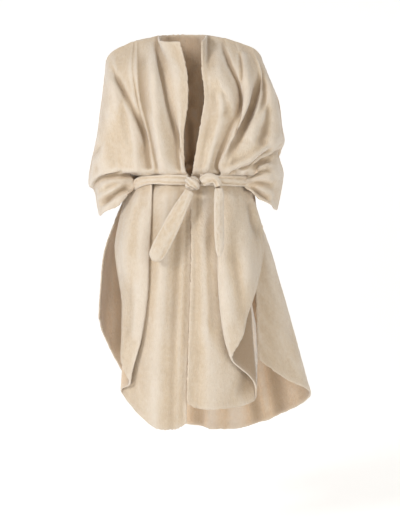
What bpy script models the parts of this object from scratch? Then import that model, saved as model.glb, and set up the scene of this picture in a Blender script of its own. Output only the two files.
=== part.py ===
"""A long, open-front cape of thick soft cloth with a tie belt, in its worn form.

The cloth is cut like a ruana: one broad back and two fronts, joined along the shoulders and
the tops of the arms, with large rounded hem corners. The belt gathers all three at the waist.
Above it they blouse over the arms, and below it they hang open at the sides.

World frame: metres, +Z up, the front faces -Y and the wearer's right is at -X. The origin is
the middle of the neck opening, level with the shoulder seams. Tables are in millimetres.
"""

import math

import bmesh
import bpy
import numpy as np
from mathutils import Quaternion, Vector

MM = 0.001

# Driving sizes
WALL = 3.0
SEAM_GAP = 0.6
SEAM_Y = 6.0
TIP_GAP = 6.0
CREASE_GAP = 11.0
VALLEY_HALF = 4.0
BELT_TOP = -418.0
BELT_MIDDLE = -431.0
BELT_HEIGHT = 27.0
BELT_THICK = 11.0
BELT_EASE = 2.5
KNOT_CENTRE = (14.0, -167.0, -436.0)
KNOT_SIZE = (44.0, 38.0, 42.0)

CREAM = (0.80, 0.68, 0.50, 1.0)
CREAM_DEEP = (0.74, 0.61, 0.43, 1.0)

# The plain front section at each height: how far forward it stands on the centre line, and
# its half width, round a centre that leans a little to the wearer's left.
FRONT_SECTIONS = {
    # name     height  centre  half  depth
    "chest": (-110.0, -3.0, 251.0, 112.0),
    "bust": (-190.0, 3.0, 264.0, 130.0),
    "ribs": (-290.0, 4.0, 281.0, 142.0),
    "blouse": (-388.0, 2.0, 286.0, 154.0),
    "tuck": (-402.0, 6.0, 250.0, 154.0),
    "under": (-411.0, 10.0, 205.0, 148.0),
    "gather": (BELT_TOP, 12.0, 180.0, 143.0),
    "belt": (BELT_MIDDLE, 12.0, 180.0, 143.0),
    "waist": (-447.0, 12.0, 182.0, 144.0),
    "skirt": (-485.0, 12.0, 206.0, 152.0),
    "hip": (-640.0, 8.0, 243.0, 168.0),
    "thigh": (-770.0, 6.0, 244.0, 176.0),
    "knee": (-890.0, 5.0, 248.0, 182.0),
    "calf": (-1015.0, 4.0, 254.0, 187.0),
    "hem": (-1180.0, 4.0, 260.0, 190.0),
}
SQUARENESS = 2.2

FRONT_LINES = ("edge", "band", "neck", "roll", "tip", "crease", "lobe", "side")
ARM_LINES = ("arm_inner", "arm_front", "arm_outer", "seam")
UPPER = ("chest", "bust", "ribs", "blouse", "tuck", "under", "gather", "belt")
LOWER = ("belt", "waist", "skirt", "hip", "thigh", "knee", "calf", "hem")

# Where each fold line crosses each section, across the front.
RIGHT_ACROSS = {
    #          edge   band   neck   roll    tip  crease   lobe   side
    "chest": (-5, -38, -72, -98, -146, -164, -183, -203),
    "bust": (-1, -30, -60, -97, -137, -152, -170, -190),
    "ribs": (-12, -24, -37, -88, -114, -131, -155, -185),
    "blouse": (-10, -17, -25, -71, -95, -112, -143, -182),
    "tuck": (-7, -15, -24, -68, -95, -112, -139, -176),
    "under": (-3, -12, -22, -64, -94, -114, -137, -167),
    "gather": (2, -9, -20, -60, -99, -114, -136, -158),
    "belt": (5, -7, -20, -60, -109, -106, -133, -156),
    "waist": (6, -7, -20, -61, -119, -104, -135, -159),
    "skirt": (7, -8, -22, -65, -134, -105, -148, -182),
    "hip": (6, -12, -31, -80, -172, -111, -178, -217),
    "thigh": (3, -17, -37, -88, -173, -118, -166, -206),
    "knee": (-2, -22, -42, -93, -183, -136, -182, -226),
    "calf": (-6, -26, -46, -96, -192, -168, -205, -240),
    "hem": (-9, -29, -48, -98, -190, -178, -210, -244),
}
# How far each fold line stands off the plain section there.
RIGHT_LIFT = {
    "chest": (0, 2, -16, 13, -14, -16, -15, -12),
    "bust": (0, 3, -17, 16, -15, -18, -12, -4),
    "ribs": (0, 4, -13, 20, -12, -16, 4, 6),
    "blouse": (0, 2, -6, 18, -8, -10, 10, 2),
    "tuck": (0, 0, -4, 9, -9, 1, 5, 0),
    "under": (-1, -2, -4, 3, -10, 0, 2, 0),
    "gather": (-2, -3, -4, -2, -17, 0, 0, -1),
    "belt": (-2, -3, -4, -3, -17, 0, 0, -1),
    "waist": (-2, -3, -4, -2, -17, 0, 1, 0),
    "skirt": (0, -1, -3, 4, -18, 3, 8, 0),
    "hip": (2, 0, -5, 14, -22, 16, 26, -10),
    "thigh": (3, 0, -6, 14, -20, 18, 20, 6),
    "knee": (3, 0, -6, 12, -18, 18, 18, 14),
    "calf": (2, 0, -5, 10, -14, 15, 22, 14),
    "hem": (2, 0, -4, 8, -12, 12, 18, 12),
}
LEFT_ACROSS = {
    #         edge   band  neck  roll  tip  crease  lobe  side
    "chest": (44, 52, 62, 92, 136, 168, 205, 217),
    "bust": (51, 59, 68, 106, 156, 174, 194, 210),
    "ribs": (36, 45, 54, 84, 118, 138, 160, 190),
    "blouse": (19, 27, 36, 60, 84, 95, 122, 180),
    "tuck": (17, 25, 33, 56, 92, 98, 124, 178),
    "under": (15, 22, 30, 53, 101, 96, 125, 180),
    "gather": (13, 20, 28, 50, 112, 94, 128, 181),
    "belt": (12, 18, 26, 49, 116, 94, 129, 180),
    "waist": (12, 18, 26, 50, 120, 94, 131, 180),
    "skirt": (12, 19, 27, 52, 134, 93, 138, 190),
    "hip": (13, 21, 30, 58, 168, 89, 166, 233),
    "thigh": (10, 19, 30, 62, 181, 92, 164, 222),
    "knee": (6, 16, 28, 64, 189, 109, 166, 214),
    "calf": (2, 13, 26, 65, 198, 150, 190, 226),
    "hem": (-1, 10, 24, 65, 196, 158, 196, 232),
}
LEFT_LIFT = {
    "chest": (0, 0, 1, 6, -15, 5, -13, -6),
    "bust": (0, 0, 2, 10, -16, 12, -16, -2),
    "ribs": (0, 1, 2, 10, -11, 12, -11, 2),
    "blouse": (0, 1, 2, 10, -9, 2, 2, 0),
    "tuck": (0, 0, 1, 6, -13, 0, 4, 0),
    "under": (-1, -1, 0, 2, -15, 0, 2, 0),
    "gather": (-2, -3, -3, -2, -17, 0, 0, -1),
    "belt": (-2, -3, -3, -3, -17, 0, 0, -1),
    "waist": (-2, -3, -3, -2, -17, 0, 1, 0),
    "skirt": (0, -1, -1, 3, -18, 4, 9, 4),
    "hip": (2, 1, 2, 8, -22, 14, 28, 14),
    "thigh": (3, 1, 2, 8, -20, 16, 34, 16),
    "knee": (3, 1, 1, 7, -18, 18, 30, 16),
    "calf": (2, 0, 0, 6, -14, 14, 22, 12),
    "hem": (2, 0, 0, 5, -12, 12, 18, 10),
}

# The top of each line, on the neck edge or the shoulder seam: across, back, up.
RIGHT_TOP = {
    "edge": (-25, -86, -27),
    "band": (-82, -48, -21),
    "neck": (-92, 6, -1),
    "roll": (-118, 6, -7),
    "tip": (-151, 6, -13),
    "crease": (-163, 6, -17),
    "lobe": (-188, 6, -27),
    "side": (-210, 6, -37),
    "arm_inner": (-225, 6, -47),
    "arm_front": (-234, 6, -56),
    "arm_outer": (-240, 6, -65),
    "seam": (-243, 6, -74),
}
LEFT_TOP = {
    "edge": (43, -84, -27),
    "band": (54, -52, -13),
    "neck": (60, 6, 0),
    "roll": (86, 6, -2),
    "tip": (108, 6, -6),
    "crease": (140, 6, -16),
    "lobe": (172, 6, -27),
    "side": (190, 6, -34),
    "arm_inner": (203, 6, -42),
    "arm_front": (212, 6, -51),
    "arm_outer": (218, 6, -61),
    "seam": (222, 6, -72),
}

# The arm lines, section by section, down to the sleeve hem: (across, back, up) for each.
RIGHT_SLEEVE = {
    #          arm_inner          arm_front          arm_outer          seam
    "chest": ((-219, -60, -112), (-233, -46, -116), (-244, -22, -120), (-249, 6, -124)),
    "bust": ((-208, -96, -192), (-231, -82, -194), (-249, -42, -197), (-258, 6, -200)),
    "ribs": ((-214, -102, -292), (-243, -86, -294), (-264, -46, -297), (-274, 6, -300)),
    "blouse": ((-210, -110, -398), (-246, -96, -407), (-277, -54, -425), (-297, 6, -444)),
    "tuck": ((-206, -92, -403), (-241, -78, -412), (-268, -42, -431), (-283, 6, -457)),
    "under": ((-204, -90, -424), (-243, -82, -438), (-266, -46, -457), (-277, 6, -476)),
    "gather": ((-205, -86, -458), (-242, -74, -474), (-264, -42, -490), (-274, 6, -504)),
    "belt": ((-206, -86, -502), (-242, -76, -516), (-260, -44, -528), (-267, 6, -538)),
}
LEFT_SLEEVE = {
    "chest": ((219, -44, -112), (230, -34, -114), (237, -18, -117), (241, 6, -120)),
    "bust": ((226, -62, -190), (245, -56, -188), (258, -32, -186), (266, 6, -184)),
    "ribs": ((222, -88, -286), (248, -74, -278), (270, -42, -272), (281, 6, -266)),
    "blouse": ((216, -104, -362), (246, -84, -348), (271, -46, -336), (285, 6, -326)),
    "tuck": ((214, -90, -372), (240, -70, -362), (260, -36, -353), (269, 6, -348)),
    "under": ((212, -96, -398), (246, -84, -399), (272, -50, -404), (286, 6, -412)),
    "gather": ((212, -88, -446), (242, -74, -455), (264, -42, -462), (277, 6, -468)),
    "belt": ((210, -88, -480), (243, -78, -493), (259, -44, -508), (267, 6, -524)),
}

# The free edge of each sleeve beside the belt, at the last two sections: front, then back.
RIGHT_FREE = ((-167, -88, -438), (-179, -92, -470))
LEFT_FREE = ((169, -110, -431), (184, -99, -458))
BACK_RIGHT_FREE = ((-190, 56, -440), (-195, 58, -468))
BACK_LEFT_FREE = ((200, 48, -436), (203, 52, -462))

# The height of the hem at each line of the fronts, with two for each fold of the pleat.
RIGHT_HEM = (-1130, -1142, -1146, -1140, -1052, -1038, -1022, -1012, -950, -620)
LEFT_HEM = (-1064, -1076, -1081, -1086, -1070, -1030, -952, -940, -868, -590)

BACK_LINES = (
    "side_right", "flute_1", "flute_2", "flute_3", "centre",
    "flute_5", "flute_6", "ridge", "flap", "side_left",
)
# The back's lines, section by section: (across, back) for each line above.
BACK_SECTIONS = {
    "chest": (
        (-203, 46), (-155, 88), (-105, 101), (-55, 103), (-5, 108),
        (50, 103), (100, 101), (150, 86), (178, 68), (200, 46),
    ),
    "bust": (
        (-205, 62), (-160, 100), (-110, 116), (-55, 112), (0, 122),
        (55, 112), (110, 116), (160, 98), (188, 78), (212, 56),
    ),
    "ribs": (
        (-205, 74), (-160, 110), (-110, 130), (-55, 122), (2, 136),
        (58, 123), (112, 130), (162, 108), (190, 86), (212, 64),
    ),
    "blouse": (
        (-196, 84), (-156, 122), (-105, 148), (-50, 146), (6, 158),
        (62, 147), (116, 146), (160, 120), (182, 98), (202, 74),
    ),
    "tuck": (
        (-188, 72), (-148, 108), (-101, 136), (-48, 140), (7, 148),
        (63, 140), (116, 134), (160, 108), (182, 84), (199, 58),
    ),
    "under": (
        (-177, 50), (-142, 90), (-97, 118), (-46, 130), (9, 135),
        (64, 129), (116, 116), (160, 88), (181, 62), (195, 32),
    ),
    "skirt": (
        (-190, 38), (-154, 90), (-105, 124), (-49, 132), (10, 146),
        (70, 134), (130, 122), (184, 78), (198, 40), (200, 6),
    ),
    "hip": (
        (-252, 28), (-221, 98), (-156, 146), (-80, 142), (10, 164),
        (92, 142), (172, 146), (250, 62), (236, 6), (196, -10),
    ),
    "thigh": (
        (-266, 20), (-247, 104), (-178, 160), (-96, 144), (4, 180),
        (104, 146), (200, 154), (289, 58), (262, 0), (206, -22),
    ),
    "knee": (
        (-273, 16), (-261, 108), (-194, 170), (-110, 146), (-4, 192),
        (114, 148), (226, 162), (324, 56), (280, -6), (210, -30),
    ),
    "calf": (
        (-277, 12), (-269, 112), (-206, 178), (-122, 148), (-12, 201),
        (122, 150), (248, 168), (359, 54), (298, -8), (216, -34),
    ),
    "hem": (
        (-280, 10), (-275, 116), (-218, 186), (-134, 150), (-20, 210),
        (132, 152), (272, 174), (404, 52), (322, -10), (226, -36),
    ),
}
# At the belt the back follows the ring round the waist: where each line crosses it.
BACK_BELT_ACROSS = (-165, -137, -95, -45, 10, 65, 116, 158, 178, 189)
BACK_TOP = (
    (-210, 6, -37), (-150, 6, -13), (-92, 6, -1), (-58, 50, 5), (-16, 64, 7),
    (28, 50, 5), (60, 6, 0), (118, 6, -8), (152, 6, -20), (190, 6, -34),
)
BACK_HEM = (-845, -905, -1030, -1140, -1197, -1208, -1172, -1076, -1026, -962)
# The back half of each sleeve: (across, back, up), from the body outwards to the seam.
BACK_RIGHT_SLEEVE = {
    "chest": ((-221, 34, -112), (-234, 26, -116), (-244, 17, -120)),
    "bust": ((-224, 54, -192), (-243, 38, -195), (-254, 22, -198)),
    "ribs": ((-230, 66, -292), (-254, 48, -295), (-269, 26, -298)),
    "blouse": ((-228, 80, -402), (-264, 60, -414), (-288, 32, -430)),
    "tuck": ((-218, 64, -408), (-252, 46, -422), (-275, 26, -440)),
    "under": ((-214, 66, -430), (-250, 48, -444), (-270, 28, -462)),
    "gather": ((-202, 52, -460), (-242, 40, -476), (-266, 24, -492)),
    "belt": ((-206, 58, -494), (-246, 46, -513), (-262, 28, -526)),
}
BACK_LEFT_SLEEVE = {
    "chest": ((216, 34, -112), (228, 26, -114), (237, 17, -117)),
    "bust": ((232, 50, -190), (250, 38, -188), (261, 22, -186)),
    "ribs": ((234, 66, -288), (260, 50, -280), (275, 28, -273)),
    "blouse": ((226, 82, -390), (258, 60, -368), (278, 34, -346)),
    "tuck": ((218, 66, -398), (248, 46, -384), (265, 26, -364)),
    "under": ((216, 66, -420), (252, 50, -418), (278, 30, -416)),
    "gather": ((206, 54, -448), (242, 40, -454), (267, 24, -458)),
    "belt": ((210, 58, -480), (244, 46, -493), (260, 28, -508)),
}

# The band runs round the waist from one side of the knot to the other, in degrees from the
# wearer's left, over the back.
WAIST_BACK = 125.0
BAND_START = -82.0
BAND_END = 264.0
BAND_STATIONS = 41
SASH_SIDES = 10

# Lengths of sash: where each passes, its width and thickness there, its twist and its curl.
LOOP = (
    (42, -174, -432, 27, 14, 0, 0),
    (50, -177, -427, 32, 15, 0, 2),
    (62, -180, -422, 32, 15, 4, 3),
    (75, -183, -423, 26, 14, 8, 3),
    (85, -185, -432, 22, 13, 4, 3),
    (89, -187, -445, 23, 12, -6, 4),
)
TAIL_RIGHT = (
    (6, -186, -458, 26, 13, 20, 3),
    (-8, -190, -484, 34, 11, 14, 3),
    (-32, -193, -530, 44, 9, 6, 2),
    (-55, -197, -576, 48, 9, 0, 2),
    (-77, -203, -618, 49, 9, 0, 2),
    (-90, -205, -643, 42, 9, 0, 2),
    (-97, -206, -657, 18, 8, 0, 1),
)
TAIL_LEFT = (
    (90, -188, -450, 23, 11, -10, 4),
    (90, -190, -472, 32, 10, -36, 8),
    (89, -194, -520, 38, 9, -48, 8),
    (90, -199, -570, 38, 9, -48, 8),
    (91, -203, -606, 34, 9, -46, 7),
    (91, -205, -630, 24, 9, -44, 5),
    (91, -206, -645, 10, 8, -42, 2),
)

# How many facets span each gap between neighbouring lines, and between sections.
FRONT_FACETS = (1, 1, 3, 3, 2, 3, 2, 3, 3)
ARM_FACETS = (2, 2, 2, 2)
BACK_FACETS = (3, 3, 3, 3, 3, 3, 3, 3, 3)
UPPER_FACETS = (4, 3, 3, 4, 1, 1, 1, 1)
LOWER_FACETS = 14
LOWER_PACE = 1.5
LEVELS = 60
# The sleeves leave the sides above the belt: the cloth is slit there from this row down.
SLIT_TOP = sum(UPPER_FACETS[:-2])
SLIT_END = sum(UPPER_FACETS)
FRONT_SLIT = sum(FRONT_FACETS)
BACK_SLITS = (sum(ARM_FACETS) - 1, sum(ARM_FACETS) + sum(BACK_FACETS))


def through(points, facets, spans=None):
    """A smooth curve, or a row of them, through points: facets[i] steps from point i to i + 1.

    spans are the lengths that pace it, or else the distances between the points.
    """
    points = np.asarray(points, float)
    if spans is None:
        spans = np.linalg.norm(np.diff(points, axis=0), axis=-1)
    steps = np.sqrt(spans)
    knots = np.concatenate([[0.0], np.cumsum(np.maximum(steps, 1e-6))])
    ends = (2 * points[0] - points[1], 2 * points[-1] - points[-2])
    points = np.concatenate([ends[:1], points, ends[1:]])
    knots = np.concatenate([[-steps[0]], knots, [knots[-1] + steps[-1]]])
    curve = [points[1]]
    for i, count in enumerate(facets):
        p, k = points[i : i + 4], knots[i : i + 4]
        for t in np.linspace(k[1], k[2], count + 1)[1:]:
            curve.append(barry_goldman(p, k, t))
    return np.array(curve)


def barry_goldman(p, k, t):
    """A point of the Catmull-Rom curve through four points at the given knots."""
    a = [mix(p[i], p[i + 1], k[i], k[i + 1], t) for i in range(3)]
    b = [mix(a[i], a[i + 1], k[i], k[i + 2], t) for i in range(2)]
    return mix(b[0], b[1], k[1], k[2], t)


def mix(p, q, start, end, t):
    return p * ((end - t) / (end - start)) + q * ((t - start) / (end - start))


def plain_front(name, x):
    """How far back the plain front section stands at x, in millimetres."""
    _, centre, half, depth = FRONT_SECTIONS[name]
    share = min(abs(x - centre) / half, 1.0)
    return -depth * math.sqrt(1.0 - share**SQUARENESS)


def back_section(name):
    """The points of the back's lines at one section."""
    height, centre, half, _ = FRONT_SECTIONS[name]
    if name in BACK_SECTIONS:
        return [(x, y, height) for x, y in BACK_SECTIONS[name]]
    points = []
    for x in BACK_BELT_ACROSS:
        share = min(abs(x - centre) / half, 1.0)
        points.append((x, WAIST_BACK * math.sqrt(1.0 - share**SQUARENESS), height))
    return points


def front_section(name, across, lifts):
    """The points of a front's lines at one section, the pleat's two folds doubled."""
    height = FRONT_SECTIONS[name][0]
    outward = math.copysign(1.0, across[-1])
    points = []
    for line, x, lift in zip(FRONT_LINES, across, lifts):
        y = plain_front(name, x)
        overlap = (across[4] - across[5]) * outward
        share = min(max((overlap + 12.0) / 24.0, 0.0), 1.0)
        spread = VALLEY_HALF * outward * (1.0 - share)
        if line == "tip":
            points.append((x - spread, y - lift, height))
            points.append((x + spread, y - lift - TIP_GAP * share, height))
        elif line == "crease":
            points.append((x - spread, y - lift + CREASE_GAP * share, height))
            points.append((x + spread, y - lift, height))
        else:
            points.append((x, y - lift, height))
    return points


def front_top(top):
    outward = math.copysign(1.0, top["seam"][0])
    points = []
    for line in FRONT_LINES:
        x, y, z = top[line]
        if line in ("tip", "crease"):
            points.append((x - 2.0 * outward, y, z))
            points.append((x + 2.0 * outward, y, z))
        else:
            points.append((x, y, z))
    return points + [top[line] for line in ARM_LINES]


def spans_between(names):
    """The drops between sections, the first of them from the shoulder."""
    heights = [FRONT_SECTIONS[name][0] for name in names]
    return -np.diff(heights)


def upper_grid(rows, line_facets):
    """Points of the cloth above the belt, from rows of line points."""
    spans = np.concatenate([[-FRONT_SECTIONS[UPPER[0]][0]], spans_between(UPPER)])
    along = through(rows, UPPER_FACETS, spans)
    return np.array([through(row, line_facets) for row in along])


def lower_grid(sections, hem, line_facets):
    """Points of the cloth below the belt: each column runs from the belt down to the hem."""
    facets = [LEVELS // (len(sections) - 1)] * (len(sections) - 1)
    along = through(sections, facets, spans_between(LOWER))
    levels = np.array([through(section, line_facets) for section in along])
    ends = through([(*p[:2], z) for p, z in zip(sections[-1], hem)], line_facets)[:, 2]
    top = levels[0, :, 2]
    grid = []
    for share in np.linspace(0.0, 1.0, LOWER_FACETS + 1)[1:] ** LOWER_PACE:
        row = []
        for column in range(levels.shape[1]):
            z = top[column] + (ends[column] - top[column]) * share
            heights = levels[::-1, column, 2]
            x = np.interp(z, heights, levels[::-1, column, 0])
            y = np.interp(z, heights, levels[::-1, column, 1])
            row.append((x, y, z))
        grid.append(row)
    return np.array(grid)


def front_grid(top, across, lift, sleeve, free, hem):
    """A front as a grid of points, with no point where the sleeve is open below the belt."""
    rows = [front_top(top)]
    for name in UPPER:
        rows.append(front_section(name, across[name], lift[name]) + list(sleeve[name]))
    upper = upper_grid(rows, FRONT_FACETS + ARM_FACETS)
    upper[SLIT_TOP + 1 :, FRONT_SLIT + 1] = free
    sections = [front_section(name, across[name], lift[name]) for name in LOWER]
    lower = lower_grid(sections, hem, FRONT_FACETS)
    blank = np.full((len(lower), upper.shape[1] - lower.shape[1], 3), np.nan)
    return np.concatenate([upper, np.concatenate([lower, blank], axis=1)])


def back_grid():
    """The back as a grid of points, from the right sleeve's seam to the left one's."""
    right_top = [RIGHT_TOP[line] for line in reversed(ARM_LINES)]
    left_top = [LEFT_TOP[line] for line in ARM_LINES]
    rows = [right_top + list(BACK_TOP) + left_top]
    for name in UPPER:
        right = [RIGHT_SLEEVE[name][3], *reversed(BACK_RIGHT_SLEEVE[name])]
        left = [*BACK_LEFT_SLEEVE[name], LEFT_SLEEVE[name][3]]
        rows.append(right + back_section(name) + left)
    facets = ARM_FACETS + BACK_FACETS + ARM_FACETS
    upper = upper_grid(rows, facets)
    upper[SLIT_TOP + 1 :, BACK_SLITS[0]] = BACK_RIGHT_FREE
    upper[SLIT_TOP + 1 :, BACK_SLITS[1] + 1] = BACK_LEFT_FREE
    sections = [back_section(name) for name in LOWER]
    lower = lower_grid(sections, BACK_HEM, BACK_FACETS)
    blank = np.full((len(lower), sum(ARM_FACETS), 3), np.nan)
    return np.concatenate([upper, np.concatenate([blank, lower, blank], axis=1)])


def cloth_cells(grid, slits):
    """The cells of the grid whose four corners are real, less those of the slits."""
    real = ~np.isnan(grid[:, :, 0])
    cells = real[:-1, :-1] & real[1:, :-1] & real[:-1, 1:] & real[1:, 1:]
    cells[SLIT_TOP:SLIT_END, list(slits)] = False
    return cells


def outward_normals(grid, cells, sign):
    """Unit normals of a grid of points, turned outwards by sign."""
    normals = np.zeros_like(grid)
    for i, j in zip(*np.nonzero(cells)):
        a, b = grid[i, j], grid[i, j + 1]
        c, d = grid[i + 1, j + 1], grid[i + 1, j]
        normals[i : i + 2, j : j + 2] += np.cross(c - a, d - b) * sign
    length = np.linalg.norm(normals, axis=2, keepdims=True)
    return normals / np.maximum(length, 1e-9)


def level_seams(grid, normals, shoulders, arms, side):
    """Brings the shoulders and arm seams to the seam plane, with the wall square to it."""
    plane = SEAM_Y + side * SEAM_GAP / 2
    grid[0, shoulders, 1] = plane
    normals[0, shoulders, 1] = 0.0
    for column in arms:
        grid[:, column, 1] = np.where(np.isnan(grid[:, column, 1]), np.nan, plane)
        normals[:, column, 1] = 0.0
    length = np.linalg.norm(normals, axis=2, keepdims=True)
    return normals / np.maximum(length, 1e-9)


def cloth_wall(name, grid, cells, normals, flip):
    """A closed wall of even thickness between a grid of points and its inner copy."""
    real = ~np.isnan(grid[:, :, 0])
    index = -np.ones(real.shape, int)
    index[real] = np.arange(real.sum())
    outer = grid[real]
    inner = outer - normals[real] * WALL
    count = len(outer)
    faces = []
    ends = {}
    for i, j in zip(*np.nonzero(cells)):
        quad = [index[i, j], index[i, j + 1], index[i + 1, j + 1], index[i + 1, j]]
        if flip:
            quad.reverse()
        faces.append(quad)
        faces.append([v + count for v in reversed(quad)])
        for a, b in zip(quad, quad[1:] + quad[:1]):
            if not ends.pop((b, a), None):
                ends[(a, b)] = True
    for a, b in ends:
        faces.append([b, a, a + count, b + count])
    mesh = bpy.data.meshes.new(name)
    mesh.from_pydata((np.concatenate([outer, inner]) * MM).tolist(), [], faces)
    mesh.validate()
    return mesh


def add_object(name, mesh, colour, roughness):
    obj = bpy.data.objects.new(name, mesh)
    bpy.data.collections["Cape"].objects.link(obj)
    material = bpy.data.materials.new(name)
    material.use_nodes = True
    shader = material.node_tree.nodes["Principled BSDF"]
    shader.inputs["Base Color"].default_value = colour
    shader.inputs["Roughness"].default_value = roughness
    mesh.materials.append(material)
    mesh.shade_smooth()
    return obj


def add_front(name, tables, shift):
    grid = front_grid(*tables)
    outward = math.copysign(1.0, shift)
    cells = cloth_cells(grid, (FRONT_SLIT,))
    normals = outward_normals(grid, cells, -outward)
    shoulder = slice(sum(FRONT_FACETS[:2]), None)
    normals = level_seams(grid, normals, shoulder, (-1,), -1.0)
    mesh = cloth_wall(name, grid, cells, normals, outward > 0)
    add_object(name, mesh, CREAM, 0.95)


def add_back():
    grid = back_grid()
    cells = cloth_cells(grid, BACK_SLITS)
    normals = outward_normals(grid, cells, 1.0)
    arm = sum(ARM_FACETS)
    right = np.arange(arm + sum(BACK_FACETS[:2]) + 1)
    left = np.arange(arm + sum(BACK_FACETS[:6]), grid.shape[1])
    normals = level_seams(grid, normals, np.concatenate([right, left]), (0, -1), 1.0)
    mesh = cloth_wall("back", grid, cells, normals, False)
    add_object("back", mesh, CREAM, 0.95)


def ring_point(turn):
    """A point of the waist ring at an angle from the wearer's left, measured over the back."""
    _, centre, half, front = FRONT_SECTIONS["belt"]
    out = BELT_EASE + BELT_THICK / 2
    depth = front if math.sin(turn) < 0 else WAIST_BACK
    across = math.copysign(abs(math.cos(turn)) ** (2 / SQUARENESS), math.cos(turn))
    return (centre + (half + out) * across, (depth + out) * math.sin(turn), BELT_MIDDLE)


def superellipse(width, thick, curl):
    """A soft flat section: (across, outwards) points, its middle pushed outwards by curl."""
    points = []
    for i in range(SASH_SIDES):
        turn = 2 * math.pi * i / SASH_SIDES
        c, s = math.cos(turn), math.sin(turn)
        across = math.copysign(abs(c) ** 0.7, c)
        out = math.copysign(abs(s) ** 0.7, s)
        points.append((across * width / 2, out * thick / 2 + curl * (1 - across**2)))
    return points


def sash_piece(name, stations, facets, across_axis):
    """A length of sash swept through stations: (x, y, z, width, thick, twist, curl)."""
    rows = through(stations, [facets] * (len(stations) - 1), np.ones(len(stations) - 1))
    path = rows[:, :3]
    tangents = np.gradient(path, axis=0)
    rings = []
    for (x, y, z, width, thick, twist, curl), tangent in zip(rows, tangents):
        along = Vector(tangent).normalized()
        out = Vector(across_axis(Vector((x, y, z)), along))
        out = (out - along * out.dot(along)).normalized()
        out.rotate(Quaternion(along, math.radians(twist)))
        across = along.cross(out)
        centre = Vector((x, y, z))
        section = superellipse(width, thick, curl)
        rings.append([centre + across * a + out * o for a, o in section])
    bm = bmesh.new()
    loops = [[bm.verts.new(point * MM) for point in ring] for ring in rings]
    for first, second in zip(loops, loops[1:]):
        for i in range(SASH_SIDES):
            j = (i + 1) % SASH_SIDES
            bm.faces.new((first[i], first[j], second[j], second[i]))
    bm.faces.new(list(reversed(loops[0])))
    bm.faces.new(loops[-1])
    bmesh.ops.recalc_face_normals(bm, faces=bm.faces)
    mesh = bpy.data.meshes.new(name)
    bm.to_mesh(mesh)
    bm.free()
    add_object(name, mesh, CREAM_DEEP, 0.95)


def away_from_waist(point, along):
    return (point.x - FRONT_SECTIONS["belt"][1], point.y * 1.4, 0.0)


def to_the_front(point, along):
    return (0.0, -1.0, 0.0)


def add_belt_band():
    start = math.radians(BAND_START)
    end = math.radians(BAND_END)
    stations = []
    for i in range(BAND_STATIONS):
        turn = start + (end - start) * i / (BAND_STATIONS - 1)
        stations.append((*ring_point(turn), BELT_HEIGHT, BELT_THICK, 0.0, 0.0))
    sash_piece("belt_band", stations, 1, away_from_waist)


def add_belt_knot():
    bm = bmesh.new()
    bmesh.ops.create_uvsphere(bm, u_segments=16, v_segments=12, radius=0.5)
    for vertex in bm.verts:
        squared = [math.copysign(abs(2 * v) ** 0.8 / 2, v) for v in vertex.co]
        for axis in range(3):
            size, centre = KNOT_SIZE[axis], KNOT_CENTRE[axis]
            vertex.co[axis] = (squared[axis] * size + centre) * MM
    mesh = bpy.data.meshes.new("belt_knot")
    bm.to_mesh(mesh)
    bm.free()
    add_object("belt_knot", mesh, CREAM_DEEP, 0.95)


def clear_scene():
    for obj in list(bpy.data.objects):
        bpy.data.objects.remove(obj)
    collection = bpy.data.collections.new("Cape")
    bpy.context.scene.collection.children.link(collection)


def main():
    clear_scene()
    add_front(
        "front_right",
        (RIGHT_TOP, RIGHT_ACROSS, RIGHT_LIFT, RIGHT_SLEEVE, RIGHT_FREE, RIGHT_HEM),
        -1.0,
    )
    add_front(
        "front_left",
        (LEFT_TOP, LEFT_ACROSS, LEFT_LIFT, LEFT_SLEEVE, LEFT_FREE, LEFT_HEM),
        1.0,
    )
    add_back()
    add_belt_band()
    add_belt_knot()
    sash_piece("belt_loop", LOOP, 3, to_the_front)
    sash_piece("belt_tail_right", TAIL_RIGHT, 3, to_the_front)
    sash_piece("belt_tail_left", TAIL_LEFT, 3, to_the_front)


main()
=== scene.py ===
"""A long, open-front cape of thick soft-pile cloth with a tied sash, dressed over its solids.

Each panel is one thin shell on the form of its solid: the same sections and fold lines, drawn
through more finely, with the creases of the real cloth pressed in, a rolled edge and a napped
finish. Tables are in millimetres, in the frame of the solids: +Z up, the front faces -Y and the
wearer's right is at -X.
"""

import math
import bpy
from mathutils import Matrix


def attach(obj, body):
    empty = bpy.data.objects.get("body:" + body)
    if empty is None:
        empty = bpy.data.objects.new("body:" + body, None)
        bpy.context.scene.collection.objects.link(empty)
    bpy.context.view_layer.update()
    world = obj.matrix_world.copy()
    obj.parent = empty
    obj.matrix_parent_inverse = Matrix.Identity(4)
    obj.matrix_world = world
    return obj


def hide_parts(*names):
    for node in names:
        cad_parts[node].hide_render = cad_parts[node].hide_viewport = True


bl_info = {
    "name": "Belted Cape",
    "version": (1, 0, 0),
    "blender": (4, 5, 0),
    "location": "3D View > Sidebar > Cape",
    "description": "Builds a long open-front cape of soft-pile cloth, tied with a sash",
    "category": "Add Mesh",
}

from collections import namedtuple

import bmesh
import bpy
import numpy as np
from bpy.props import FloatProperty, FloatVectorProperty, IntProperty, PointerProperty
from mathutils import Quaternion, Vector, noise
from mathutils.kdtree import KDTree

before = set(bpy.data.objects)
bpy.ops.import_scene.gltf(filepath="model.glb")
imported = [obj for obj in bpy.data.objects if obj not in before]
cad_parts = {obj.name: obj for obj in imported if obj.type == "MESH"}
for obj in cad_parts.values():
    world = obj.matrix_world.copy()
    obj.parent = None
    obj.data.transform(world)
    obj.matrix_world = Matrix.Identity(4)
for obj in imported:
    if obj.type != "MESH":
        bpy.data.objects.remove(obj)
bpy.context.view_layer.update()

MM = 0.001
ROOT = "root"

# ---------------------------------------------------------------- sizes shared with the solids

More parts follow.
